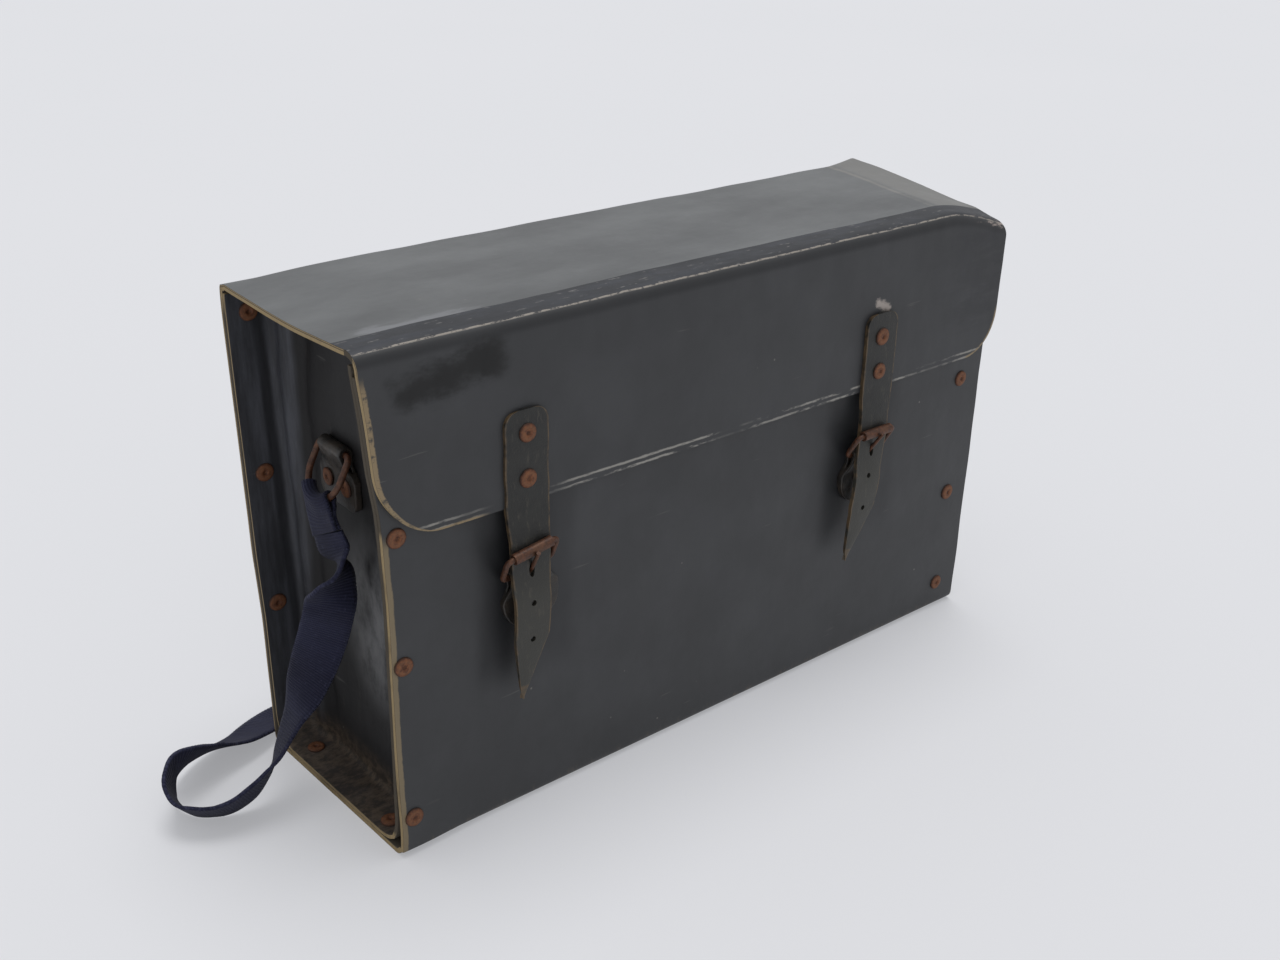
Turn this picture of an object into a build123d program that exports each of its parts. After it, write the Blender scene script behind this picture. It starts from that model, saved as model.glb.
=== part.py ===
from build123d import *
import math
import os

os.makedirs("parts", exist_ok=True)

# Satchel-type tool bag in millimetres. The origin is the middle of its base on the
# floor, X runs along the bag, -Y is the buckled front and +Z is up.

# Case and board
case_length = 448.0
case_depth = 134.0
case_height = 282.0
board = 3.0
bottom_bend = 6.0  # outer radius of the bends along the base
lid_bend = 6.0  # outer radius of the back crease, the lid's hinge
flap_bend = 8.0  # outer radius of the front crease, the flap's hinge
crease_leg = 4.0  # flexible board on each side of a crease
panel_below_lid = 12.0  # the front panel stops this far under the lid's top
running_gap = 0.3

# Lid and flap
lid_overhang = 5.0  # past the case at the right end
flap_inset = 1.5  # short of the case at the left end
flap_drop = 97.0  # from the lid's top to the flap's lower edge
flap_left_radius = 33.0
flap_right_radius = 28.0

# End gussets
recess = 25.0
gusset_board = 2.5
gusset_below_lid = 4.0
gusset_corner = 3.5

# Rivets
rivet_shank = 2.0
rivet_hole = 2.05
rivet_head = 5.2
rivet_head_height = 1.4
rivet_dimple = 1.7
rivet_dimple_depth = 0.6
rivet_edge = 0.9  # share of the head at which its rim turns in
rivet_rim_rise = 0.6  # share of the head's height there
rivet_crown = 0.6  # share of the head that is its crown
rivet_foot = 0.8  # share of the head at the foot of its inner end
rivet_dimple_floor = 0.7
front_rivet_inset = {"left": 12.0, "right": 19.5}  # from the ends of the case
front_rivet_low = {"left": 24.0, "right": 20.0}
front_rivet_middle = {"left": 0.56, "right": 0.46}  # share of the way from the low to the top one
front_rivet_top = {"left": 1.0, "right": -15.0}  # above the flap's lower edge
back_rivet_inset = 7.0
back_rivet_low = 94.0
back_rivet_middle = 0.47
back_rivet_top = 8.0  # below the back's upper edge
base_rivet_inset = 12.0
base_rivet_from_front = 24.0
base_rivet_from_back = 27.0

# Closing straps
strap_leather = 2.4
strap_width = 26.0
tail_taper = 2.0  # narrower at the buckle than at the anchor
tail_end_width = 21.0
strap_corner = 8.0
pivot_above_edge = 1.0  # the tail bends this far above the flap's lower edge
strap_insets = {"left": 84.0, "right": 107.0}  # from the ends of the case to the straps' middles
strap_heights = {"left": 51.0, "right": 48.4}  # above the flap's lower edge
strap_rivet_rise = {"left": (38.6, 14.1), "right": (33.7, 12.0)}
tail_lean = {"left": 2.3, "right": 8.8}  # degrees, the tip to the left
tail_length = 111.0
tail_point = 37.0
tail_tip_shift = 4.0
tail_tip_width = 2.0
tail_tip_cut = 1.5
tail_shoulder = 21.0  # the tail has narrowed this far below its bend
tail_hole = 1.6
first_hole = 54.0
hole_pitch = 21.0
tail_bulge = 2.4
tail_clear = 0.1

# Buckles: wire frame, prong and roller
buckle_wire = 3.0
buckle_side_gap = 2.0  # between the strap's edges and the wire
buckle_length = 17.5
buckle_corner = 3.5
buckle_tilt = 30.0  # degrees, the roller's side held out by the strap
roller_wall = 1.34
shaft_gap = 0.06
prong_wire = 2.2
prong_past_roller = 3.0
prong_hole_gap = 0.6  # round the prong
prong_hole_rise = 7.0  # the hole's upper end above the heel bar
heel_drops = {"left": 38.5, "right": 40.5}  # from the strap's bend to the heel bar
buckle_roll = {"left": 9.0, "right": 0.0}  # degrees, the right-hand end up

# Leather folded round a bar: buckle chapes and ring tabs
tab_leather = 2.0
loop_gap = 0.3
tab_slope = 12.0  # the front layer comes down to the back one over this height
chape_width = 35.0
chape_drop = 34.5
prong_slot = 5.0
ring_tab_width = 36.0
ring_tab_drop = 31.0
ring_tab_corner = 5.0
tab_neck = 6.0
tab_shoulder = 14.0
tab_end_gap = 0.3
chape_flat = 0.4  # left straight between a chape's two lower curves

# Rings in the end recesses
ring_wire = 3.5
ring_width = 34.0
ring_depth = 31.0
ring_corner = 3.5
ring_below_lid = 78.0
ring_place = 6.0
ring_swing = 27.0  # degrees out from the gusset
ring_rivet_spread = 9.0
ring_rivet_drop = 19.0

# Webbing
webbing_width = 26.0
webbing = 1.8
webbing_seat = 0.3
sewn_length = 16.0
wrap_angle = 50.0  # degrees of the ring's bow that the loop covers, each side

# The course of the webbing: points chosen by hand, each with the way its width faces
left_course = [
    ((-216.0, -6.0, 136.0), (-0.1, 0.98, 0.1)),
    ((-218.0, -4.0, 114.0), (-0.5, 0.85, 0.1)),
    ((-219.0, 8.0, 92.0), (-0.6, 0.78, 0.1)),
    ((-225.0, 16.0, 68.0), (-0.4, 0.89, -0.2)),
    ((-236.0, 16.0, 48.0), (-0.02, 0.88, -0.48)),
    ((-246.0, 12.0, 35.0), (0.2, 0.86, -0.48)),
    ((-255.0, 10.0, 25.0), (0.38, 0.68, -0.62)),
    ((-266.0, 9.0, 17.0), (0.42, 0.58, -0.7)),
    ((-279.0, 11.0, 11.5), (0.33, 0.6, -0.74)),
    ((-292.0, 18.0, 10.0), (0.22, 0.68, -0.7)),
    ((-299.0, 27.0, 12.0), (0.34, 0.72, -0.6)),
    ((-300.0, 37.0, 17.0), (0.4, 0.62, -0.66)),
    ((-294.0, 46.0, 21.0), (0.42, 0.52, -0.74)),
    ((-283.0, 55.0, 19.0), (0.2, 0.65, -0.74)),
    ((-270.0, 63.0, 14.0), (0.0, 0.75, -0.66)),
    ((-256.0, 68.5, 9.5), (-0.15, 0.87, -0.46)),
    ((-243.0, 72.0, 6.5), (-0.2, 0.91, -0.36)),
    ((-229.0, 79.0, 4.5), (-0.25, 0.93, -0.25)),
    ((-214.0, 84.0, 2.4), (-0.2, 0.97, -0.1)),
    ((-190.0, 86.0, 1.2), (0.0, 1.0, 0.0)),
    ((0.0, 86.0, 1.1), (0.0, 1.0, 0.0)),
]
right_course = [
    ((213.0, 8.0, 120.0), (0.1, 0.99, 0.0)),
    ((224.0, 26.0, 80.0), (0.05, 0.99, 0.1)),
    ((237.0, 44.0, 48.0), (-0.1, 0.95, 0.3)),
    ((244.0, 60.0, 28.0), (-0.3, 0.8, 0.5)),
    ((241.0, 74.0, 14.0), (-0.1, 0.9, 0.35)),
    ((225.0, 83.0, 5.5), (0.1, 0.97, 0.15)),
    ((195.0, 86.0, 1.6), (0.05, 1.0, 0.0)),
    ((150.0, 86.0, 1.1), (0.0, 1.0, 0.0)),
    ((0.0, 86.0, 1.1), (0.0, 1.0, 0.0)),
]
steps_per_span = 2

# Worked out from the sizes above
half_length = case_length / 2
front_face = -case_depth / 2
back_face = case_depth / 2
lid_right = half_length + lid_overhang
flap_left = -half_length + flap_inset
lid_hinge = (back_face - lid_bend, case_height - lid_bend)
flap_face = front_face - running_gap - board
flap_hinge = (flap_face + flap_bend, case_height - flap_bend)
back_top = lid_hinge[1] - crease_leg
panel_top = case_height - panel_below_lid
flap_top = flap_hinge[1] - crease_leg
flap_bottom = case_height - flap_drop
gusset_top = case_height - board - gusset_below_lid
recess_floor = half_length - recess
strap_pivot = flap_bottom + pivot_above_edge
tail_width = strap_width - tail_taper
buckle_opening = tail_width + 2 * buckle_side_gap
buckle_bar = buckle_wire / 2
heel_back = buckle_bar + loop_gap + tab_leather
heel_y = front_face - heel_back
roller_inner = buckle_bar + shaft_gap
roller_outer = roller_inner + roller_wall
roller_y = heel_y - buckle_length * math.sin(math.radians(buckle_tilt))
roller_rise = buckle_length * math.cos(math.radians(buckle_tilt))
ring_bar = ring_wire / 2
ring_back = ring_bar + loop_gap + tab_leather
ring_height = case_height - ring_below_lid
ring_half = (ring_width - ring_wire) / 2
ring_bow_drop = ring_depth - ring_wire - ring_half
sides = ("left", "right")
strap_middles = {"left": strap_insets["left"] - half_length, "right": half_length - strap_insets["right"]}


def write(shape, node):
    """Writes one node of the bag."""
    export_step(shape, f"parts/{node}.step")


def yz_prism(outline, start, end):
    """Pushes an outline drawn in Y and Z along X from start to end."""
    return extrude(Plane.YZ.offset(start) * outline, amount=end - start)


def xz_prism(outline, near, far):
    """Pushes an outline drawn in X and Z from y = far to y = near, with near the smaller."""
    return extrude(Plane.XZ.offset(-far) * outline, amount=far - near)


def block(low, high):
    """A box between two corners."""
    size = [b - a for a, b in zip(low, high)]
    middle = [(a + b) / 2 for a, b in zip(low, high)]
    return Pos(*middle) * Box(*size)


def tray_outline(half_width, floor, top, corner):
    """A rectangle in Y and Z with its two lower corners rounded."""
    outline = Pos(0, (floor + top) / 2) * Rectangle(2 * half_width, top - floor)
    return fillet(outline.vertices().group_by(Axis.Y)[0], corner)


def rivet(grip, flush=False):
    """A rivet along Z: its head stands on z = 0 and its shank reaches down through the grip."""
    shank_end = -grip if flush else -grip - rivet_head_height
    tail = [(0, shank_end), (rivet_shank, shank_end)]
    if not flush:
        tail = [
            (0, shank_end),
            (rivet_head * rivet_foot, shank_end),
            (rivet_head, -grip),
            (rivet_shank, -grip),
        ]
    head = [
        (rivet_shank, 0),
        (rivet_head, 0),
        (rivet_head * rivet_edge, rivet_head_height * rivet_rim_rise),
        (rivet_head * rivet_crown, rivet_head_height),
        (rivet_dimple, rivet_head_height),
        (rivet_dimple * rivet_dimple_floor, rivet_head_height - rivet_dimple_depth),
        (0, rivet_head_height - rivet_dimple_depth),
    ]
    profile = make_face(Polyline(*tail, *head, close=True))
    return revolve(Plane.XZ * profile, Axis.Z)


def facing(place, outward):
    """Where a rivet stands: its foot at place and its head towards outward."""
    return Plane(origin=place, z_dir=outward).location


def rivet_holes(places, outward, grip):
    """The holes that the rivets pass through."""
    hole = Pos(0, 0, -grip / 2) * Cylinder(rivet_hole, 3 * grip)
    return [facing(p, outward) * hole for p in places]


def end_sign(side):
    """-1 at the left end and 1 at the right."""
    return -1 if side == "left" else 1


def between(low, top, share):
    """Three heights: the lowest, one a share of the way up, and the highest."""
    return (low, low + share * (top - low), top)


def front_rivet_places():
    """Feet of the rivets in the front panel."""
    places = []
    for side in sides:
        x = end_sign(side) * (half_length - front_rivet_inset[side])
        top = flap_bottom + front_rivet_top[side]
        heights = between(front_rivet_low[side], top, front_rivet_middle[side])
        places += [(x, front_face, z) for z in heights]
    return places


def back_rivet_places():
    """Feet of the rivets in the back."""
    x = half_length - back_rivet_inset
    heights = between(back_rivet_low, back_top - back_rivet_top, back_rivet_middle)
    return [(s * x, back_face, z) for s in (-1, 1) for z in heights]


def base_rivet_feet():
    """Feet of the base rivets, on top of the gussets' lower flanges."""
    x = half_length - base_rivet_inset
    z = board + gusset_board
    places = (front_face + base_rivet_from_front, back_face - base_rivet_from_back)
    return [(s * x, y, z) for s in (-1, 1) for y in places]


def chape_rivet_place(side):
    """Foot of the rivet through a chape, on the chape's face."""
    return chape_frame(side) * Pos(0, heel_back - 2 * tab_leather, -(chape_drop - chape_width / 2))


def ring_rivet_place(side, step):
    """Foot of a rivet through a ring tab, on the tab's face."""
    y = ring_back - 2 * tab_leather
    return ring_frame(side) * Pos(step * ring_rivet_spread, y, -ring_rivet_drop)


def head_out(frame):
    """Turns a rivet made along Z so that its head faces a frame's -Y."""
    return frame * Rot(90, 0, 0)


def case_rivet_cutters():
    """Every hole through the wrapper and the gussets."""
    grip = board + gusset_board
    cutters = rivet_holes(front_rivet_places(), (0, -1, 0), grip)
    cutters += rivet_holes(back_rivet_places(), (0, 1, 0), grip)
    cutters += rivet_holes(base_rivet_feet(), (0, 0, 1), grip)
    for side in sides:
        through = Pos(0, 0, -tab_leather) * Cylinder(rivet_hole, 4 * (tab_leather + board))
        cutters.append(head_out(chape_rivet_place(side)) * through)
        for step in (-1, 1):
            cutters.append(head_out(ring_rivet_place(side, step)) * through)
    return cutters


def case_shell():
    """Front panel, base and back: one bent board."""
    outer = tray_outline(case_depth / 2, 0, back_top, bottom_bend)
    inner = tray_outline(case_depth / 2 - board, board, back_top + board, bottom_bend - board)
    above_panel = Pos(front_face + board / 2, (panel_top + back_top) / 2) * Rectangle(
        2 * board, back_top - panel_top
    )
    return yz_prism(outer - inner - above_panel, -half_length, half_length)


def gusset(side):
    """An end tray: its web stands a recess in from the end, and its flanges reach the end."""
    half = case_depth / 2 - board
    outer = tray_outline(half, board, gusset_top, gusset_corner)
    inner = tray_outline(
        half - gusset_board,
        board + gusset_board,
        gusset_top + gusset_board,
        gusset_corner - gusset_board,
    )
    tray = yz_prism(outer, recess_floor - gusset_board, half_length)
    tray -= yz_prism(inner, recess_floor, half_length)
    return tray if side == "right" else mirror(tray, Plane.YZ)


def crease(centre, bend, legs, start, end):
    """A quarter turn of board about a hinge line with a leg each side; legs says which way they run."""
    ring = Circle(bend) - Circle(bend - board)
    way_y, way_z = legs
    quarter = Pos(-way_y * bend / 2, -way_z * bend / 2) * Rectangle(bend, bend)
    upright = Pos(-way_y * (bend - board / 2), way_z * crease_leg / 2) * Rectangle(board, crease_leg)
    level = Pos(way_y * crease_leg / 2, -way_z * (bend - board / 2)) * Rectangle(crease_leg, board)
    outline = Pos(*centre) * (ring & quarter) + Pos(*centre) * upright + Pos(*centre) * level
    return yz_prism(outline, start, end)


def lid_fold():
    """The crease along the back, on which the lid turns."""
    return crease(lid_hinge, lid_bend, (-1, -1), -half_length, lid_right)


def flap_fold():
    """The crease along the front, on which the flap turns."""
    return crease(flap_hinge, flap_bend, (1, -1), flap_left, lid_right)


def lid_panel():
    """The flat top."""
    near = flap_hinge[0] + crease_leg
    far = lid_hinge[0] - crease_leg
    return block((-half_length, near, case_height - board), (lid_right, far, case_height))


def flap_panel():
    """The front flap with its rounded lower corners."""
    width = lid_right - flap_left
    outline = Pos((flap_left + lid_right) / 2, (flap_bottom + flap_top) / 2) * Rectangle(
        width, flap_top - flap_bottom
    )
    left, right = outline.vertices().group_by(Axis.Y)[0].sort_by(Axis.X)
    outline = fillet(left, flap_left_radius)
    right = outline.vertices().group_by(Axis.Y)[0].sort_by(Axis.X)[-1]
    outline = fillet(right, flap_right_radius)
    return xz_prism(outline, flap_face, flap_face + board)


def strap_rivet_places(side):
    """Feet of the rivets through a strap and the flap."""
    y = flap_face - strap_leather
    return [(strap_middles[side], y, flap_bottom + rise) for rise in strap_rivet_rise[side]]


def strap_anchor(side):
    """The riveted end of a closing strap, flat on the flap, with a rounded top."""
    height = strap_heights[side] - pivot_above_edge
    outline = Pos(strap_middles[side], strap_pivot + height / 2) * Rectangle(strap_width, height)
    outline = fillet(outline.vertices().group_by(Axis.Y)[-1], strap_corner)
    return xz_prism(outline, flap_face - strap_leather, flap_face)


def tail_line(side):
    """The middle line of a tail in Y and Z: down past the roller's back and over the heel bar."""
    half = strap_leather / 2
    start = flap_face - half - tail_clear
    behind_roller = roller_y + roller_outer + running_gap + half
    over_heel = heel_y - heel_back - running_gap - half
    heel = heel_height(side)
    return [
        (start, strap_pivot + tail_shoulder / 4),
        (start, strap_pivot),
        (start - strap_leather / 3, strap_pivot - strap_leather * 3),
        (behind_roller, heel + roller_rise),
        (over_heel, heel),
        (over_heel - tail_bulge, heel - buckle_length),
        (over_heel - tail_bulge, heel - 2 * buckle_length),
        (over_heel - tail_bulge / 2, heel - 3 * buckle_length),
        (over_heel, strap_pivot - tail_length),
    ]


def side_of_line(points, distance):
    """The points moved square to their line by a distance."""
    moved = []
    for i, (y, z) in enumerate(points):
        before = points[max(i - 1, 0)]
        after = points[min(i + 1, len(points) - 1)]
        run, rise = after[0] - before[0], after[1] - before[1]
        size = math.hypot(run, rise)
        moved.append((y + distance * rise / size, z - distance * run / size))
    return moved


def tail_outline():
    """A tail laid flat in X and Z: it narrows a little, then comes to its point."""
    length = tail_length
    return make_face(
        Polyline(
            (-strap_width / 2, tail_shoulder),
            (-strap_width / 2, -tail_shoulder / 4),
            (-tail_width / 2, -tail_shoulder),
            (-tail_end_width / 2, tail_point - length),
            (-tail_tip_shift - tail_tip_width / 2, tail_tip_cut - length),
            (-tail_tip_shift + tail_tip_width / 2, tail_tip_cut - length),
            (tail_end_width / 2, tail_point - length),
            (tail_width / 2, -tail_shoulder),
            (strap_width / 2, -tail_shoulder / 4),
            (strap_width / 2, tail_shoulder),
            close=True,
        )
    )


def strap_tail(side):
    """The free end of a closing strap, threaded behind the roller and over the heel bar."""
    line = tail_line(side)
    outer = side_of_line(line, -strap_leather / 2)
    inner = side_of_line(line, strap_leather / 2)
    ends = Line(outer[-1], inner[-1]), Line(inner[0], outer[0])
    edge = [Spline(*outer), ends[0], Spline(*inner[::-1]), ends[1]]
    ribbon = yz_prism(make_face(edge), -strap_width, strap_width)
    flat = xz_prism(tail_outline(), 2 * flap_face, 0)
    pivot = Pos(strap_middles[side], 0, strap_pivot)
    lean = Rot(0, tail_lean[side], 0)
    tail = pivot * lean * (Pos(0, 0, -strap_pivot) * ribbon & flat)
    reach = 2 * case_depth
    above = block((-half_length, -reach, strap_pivot), (half_length, reach, case_height))
    tail -= above
    for step in (0, 1):
        drop = first_hole + step * hole_pitch
        hole = Rot(90, 0, 0) * Cylinder(tail_hole, 2 * reach)
        tail -= pivot * lean * Pos(0, 0, -drop) * hole
    return tail - chape_frame(side) * prong_hole()


def prong_hole():
    """The worn hole round the prong, in the frame of its buckle."""
    half = prong_wire / 2 + prong_hole_gap
    return block((-half, -buckle_length, -prong_wire / 2), (half, 0, prong_hole_rise))


def heel_height(side):
    """Height of a buckle's heel bar."""
    return strap_pivot - heel_drops[side]


def chape_frame(side):
    """Where a buckle's heel bar lies: X along the bar, -Y out from the bag."""
    half_rise = roller_rise / 2
    lean = math.tan(math.radians(tail_lean[side])) * (heel_drops[side] - half_rise)
    roll = math.tan(math.radians(buckle_roll[side])) * half_rise
    place = Pos(strap_middles[side] - lean + roll, heel_y, heel_height(side))
    return place * Rot(0, -buckle_roll[side], 0)


def ring_frame(side):
    """Where a ring's top bar lies: X along the bar, -Y out from the gusset."""
    sign = end_sign(side)
    return Pos(sign * (recess_floor + ring_back), ring_place, ring_height) * Rot(0, 0, sign * 90)


def folded_tab(bar, outline):
    """Leather folded round a bar along X and closed below it, cut to an outline in X and Z."""
    inner = bar + loop_gap
    outer = inner + tab_leather
    low = outline.bounding_box().min.Y
    over = (Circle(outer) - Circle(inner)) & (Pos(0, outer / 2) * Rectangle(2 * outer, outer))
    back = make_face(
        Polyline((outer, 0), (inner, 0), (inner, low), (outer, low), close=True)
    )
    front_foot = outer - 2 * tab_leather
    front = make_face(
        Polyline(
            (-outer, 0),
            (front_foot, -tab_slope),
            (front_foot, low),
            (inner, low),
            (inner, -tab_slope),
            (-inner, 0),
            close=True,
        )
    )
    reach = outline.bounding_box().size.X
    fold = yz_prism(over + back + front, -reach, reach)
    return fold & xz_prism(outline, -2 * outer, 2 * outer)


def tab_plan(bar, loop_width, width, drop, rounding):
    """A tab seen from the front: a narrow loop that widens to a patch with rounded lower corners."""
    top = bar + loop_gap + tab_leather
    neck = Pos(0, (top - tab_shoulder) / 2) * Rectangle(loop_width, top + tab_shoulder)
    shoulder = make_face(
        Polyline(
            (-loop_width / 2, -tab_neck),
            (loop_width / 2, -tab_neck),
            (width / 2, -tab_shoulder),
            (-width / 2, -tab_shoulder),
            close=True,
        )
    )
    patch = Pos(0, -(tab_shoulder + drop) / 2) * Rectangle(width, drop - tab_shoulder)
    patch = fillet(patch.vertices().group_by(Axis.Y)[0], rounding)
    return neck + shoulder + patch


def chape(side):
    """The leather that holds a buckle, with a slot for the prong."""
    loop_width = buckle_opening + buckle_wire - 2 * buckle_corner - 2 * tab_end_gap
    rounding = min(chape_width / 2, chape_drop - tab_shoulder) - chape_flat / 2
    plan = tab_plan(buckle_bar, loop_width, chape_width, chape_drop, rounding)
    leather = folded_tab(buckle_bar, plan)
    slot = block(
        (-prong_slot / 2, -2 * heel_back, -tab_slope), (prong_slot / 2, 2 * heel_back, 2 * heel_back)
    )
    return chape_frame(side) * (leather - slot)


def ring_tab(side):
    """The leather that holds a ring in an end recess."""
    loop_width = ring_width - ring_wire - 2 * ring_corner - 2 * tab_end_gap
    plan = tab_plan(ring_bar, loop_width, ring_tab_width, ring_tab_drop, ring_tab_corner)
    return ring_frame(side) * folded_tab(ring_bar, plan)


def wire_along(path, radius):
    """Round wire along a planar path."""
    start = Plane(origin=path @ 0, z_dir=path % 0)
    return sweep(start * Circle(radius), path=path)


def buckle_frame_shape():
    """A bent wire rectangle in the XZ plane, its heel bar on the X axis."""
    width = buckle_opening + buckle_wire
    outline = Pos(0, buckle_length / 2) * RectangleRounded(width, buckle_length, buckle_corner)
    return wire_along((Plane.XZ * outline).wire(), buckle_bar)


def buckle_placed(side):
    """Stands a buckle's own pieces out by its tilt."""
    return chape_frame(side) * Rot(buckle_tilt, 0, 0)


def roller(side):
    """A tube that turns on the buckle's top bar."""
    length = buckle_opening + buckle_wire - 2 * buckle_corner - 2 * tab_end_gap
    tube = Rot(0, 90, 0) * (Cylinder(roller_outer, length) - Cylinder(roller_inner, length))
    return buckle_placed(side) * Pos(0, 0, buckle_length) * tube


def prong(side):
    """A pin with an eye round the heel bar, resting on the roller."""
    wire = prong_wire / 2
    eye_radius = roller_inner + wire
    rest = roller_outer + wire + shaft_gap
    rise = buckle_length + prong_past_roller
    start = Vector(0, -eye_radius, 0)
    end = Vector(0, -eye_radius - (rest - eye_radius) * rise / buckle_length, rise)
    eye = Rot(0, 90, 0) * Torus(eye_radius, wire)
    lean = Plane(origin=start, z_dir=end - start)
    pin = lean * Pos(0, 0, (end - start).length / 2) * Cylinder(wire, (end - start).length)
    return buckle_placed(side) * (eye + pin)


def ring_path():
    """The bent wire of a ring: a straight top bar and a round bow below it."""
    half = ring_half
    bend = ring_corner
    drop = ring_bow_drop
    turn = bend * math.sqrt(0.5)
    bow = half * math.sqrt(0.5)
    return Wire(
        [
            Line((bend - half, 0, 0), (half - bend, 0, 0)),
            ThreePointArc(
                (half - bend, 0, 0), (half - bend + turn, 0, turn - bend), (half, 0, -bend)
            ),
            Line((half, 0, -bend), (half, 0, -drop)),
            ThreePointArc((half, 0, -drop), (bow, 0, -drop - bow), (0, 0, -drop - half)),
            ThreePointArc((0, 0, -drop - half), (-bow, 0, -drop - bow), (-half, 0, -drop)),
            Line((-half, 0, -drop), (-half, 0, -bend)),
            ThreePointArc(
                (-half, 0, -bend), (bend - half - turn, 0, turn - bend), (bend - half, 0, 0)
            ),
        ]
    )


def ring_placed(side):
    """Swings a ring out from the gusset by its rest angle."""
    return ring_frame(side) * Rot(-ring_swing, 0, 0)


def ring(side):
    """A D-ring with its bar in the tab."""
    return ring_placed(side) * wire_along(ring_path(), ring_bar)


def bow_sleeve(radius):
    """A sleeve of a radius along the middle of the ring's bow."""
    half = ring_half
    drop = ring_bow_drop
    angle = math.radians(wrap_angle)
    left = (-half * math.sin(angle), 0, -drop - half * math.cos(angle))
    right = (half * math.sin(angle), 0, -drop - half * math.cos(angle))
    return wire_along(Wire([ThreePointArc(left, (0, 0, -drop - half), right)]), radius)


def bow_bottom(side):
    """The lowest point of the ring's wire line, in its end's frame."""
    drop = ring_bow_drop + ring_half
    swing = math.radians(ring_swing)
    return Pos(0, -drop * math.sin(swing), -drop * math.cos(swing))


def webbing_loop(side):
    """The end of the webbing, folded round the ring and sewn to itself."""
    hole = ring_bar + webbing_seat
    round_bow = ring_placed(side) * bow_sleeve(hole + webbing)
    half = webbing_width / 2
    sewn = block((-half, -webbing, -sewn_length), (half, webbing, 0))
    sewn = ring_frame(side) * bow_bottom(side) * sewn
    clear = ring_placed(side) * wire_along(ring_path(), hole)
    return round_bow + sewn - clear


def run_start(side):
    """Where a free run of webbing leaves its sewn loop, and how it faces there."""
    foot = ring_frame(side) * bow_bottom(side) * Pos(0, 0, -sewn_length)
    return (tuple(foot.position), (0.0, 1.0, 0.0))


def smooth(points, i, t):
    """A point on the smooth line through points, a share t past number i."""
    before, a, b, after = (
        Vector(*points[min(max(k, 0), len(points) - 1)]) for k in (i - 1, i, i + 1, i + 2)
    )
    slope_a = (b - before) * 0.5
    slope_b = (after - a) * 0.5
    share = t * t * (3 - 2 * t)
    curve = slope_a * (t * (1 - t) ** 2) - slope_b * (t * t * (1 - t))
    return a * (1 - share) + b * share + curve


def webbing_run(side):
    """A free run of webbing: flat sections set along its course."""
    course = [run_start(side)] + (left_course if side == "left" else right_course)
    places = [c[0] for c in course]
    widths = [c[1] for c in course]
    spans = len(course) - 1
    stations = [(i, k / steps_per_span) for i in range(spans) for k in range(steps_per_span)]
    stations.append((spans - 1, 1.0))
    middles = [smooth(places, i, t) for i, t in stations]
    faces = []
    for n, (i, t) in enumerate(stations):
        ahead = middles[min(n + 1, len(middles) - 1)] - middles[max(n - 1, 0)]
        if n == 0:
            ahead = Vector(0, 0, -1)
        if n == len(stations) - 1:
            ahead = Vector(1 if side == "left" else -1, 0, 0)
        ahead = ahead.normalized()
        across = smooth(widths, i, t)
        across = (across - ahead * across.dot(ahead)).normalized()
        section = Plane(origin=middles[n], x_dir=across, z_dir=ahead)
        faces.append(section * Rectangle(webbing_width, webbing))
    run = loft(faces, ruled=True)
    length = sum((b - a).length for a, b in zip(middles, middles[1:]))
    share = run.volume / (length * webbing_width * webbing)
    print(f"{side} webbing run: {length:.0f} mm, volume {share:.3f} of its section times its length")
    return run


def rivet_group(places, outward, grip, flush=False):
    """Like rivets with their heads one way, as separate solids."""
    return [facing(p, outward) * rivet(grip, flush) for p in places]


def build():
    """Makes and writes every node."""
    cutters = case_rivet_cutters()
    write(case_shell() - cutters, "case_shell")
    write(lid_fold(), "lid_fold")
    write(lid_panel(), "lid_panel")
    write(flap_fold(), "flap_fold")
    grip = board + gusset_board
    strap_grip = board + strap_leather
    strap_places = [p for side in sides for p in strap_rivet_places(side)]
    strap_holes = rivet_holes(strap_places, (0, -1, 0), strap_grip)
    write(flap_panel() - strap_holes, "flap_panel")
    write(Compound(children=rivet_group(front_rivet_places(), (0, -1, 0), grip)), "front_rivets")
    write(Compound(children=rivet_group(back_rivet_places(), (0, 1, 0), grip)), "back_rivets")
    write(Compound(children=rivet_group(base_rivet_feet(), (0, 0, 1), grip, True)), "base_rivets")
    straps = rivet_group(strap_places, (0, -1, 0), strap_grip, True)
    write(Compound(children=straps), "strap_rivets")
    chape_grip = 2 * tab_leather + board
    chapes = [head_out(chape_rivet_place(side)) * rivet(chape_grip) for side in sides]
    write(Compound(children=chapes), "chape_rivets")
    tab_grip = 2 * tab_leather + gusset_board
    tabs = [
        head_out(ring_rivet_place(side, step)) * rivet(tab_grip) for side in sides for step in (-1, 1)
    ]
    write(Compound(children=tabs), "ring_tab_rivets")
    for side in sides:
        write(gusset(side) - cutters, f"{side}_gusset")
        write(strap_anchor(side) - strap_holes, f"{side}_strap_anchor")
        write(strap_tail(side), f"{side}_strap_tail")
        write(chape(side) - cutters, f"{side}_chape")
        write(buckle_placed(side) * buckle_frame_shape(), f"{side}_buckle_frame")
        write(roller(side), f"{side}_roller")
        write(prong(side), f"{side}_prong")
        write(ring_tab(side) - cutters, f"{side}_ring_tab")
        write(ring(side), f"{side}_ring")
        write(webbing_loop(side), f"{side}_webbing_loop")
        write(webbing_run(side), f"{side}_webbing_run")


build()
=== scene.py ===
import math
import bmesh
import bpy
from mathutils import Matrix, Vector, noise


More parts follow.
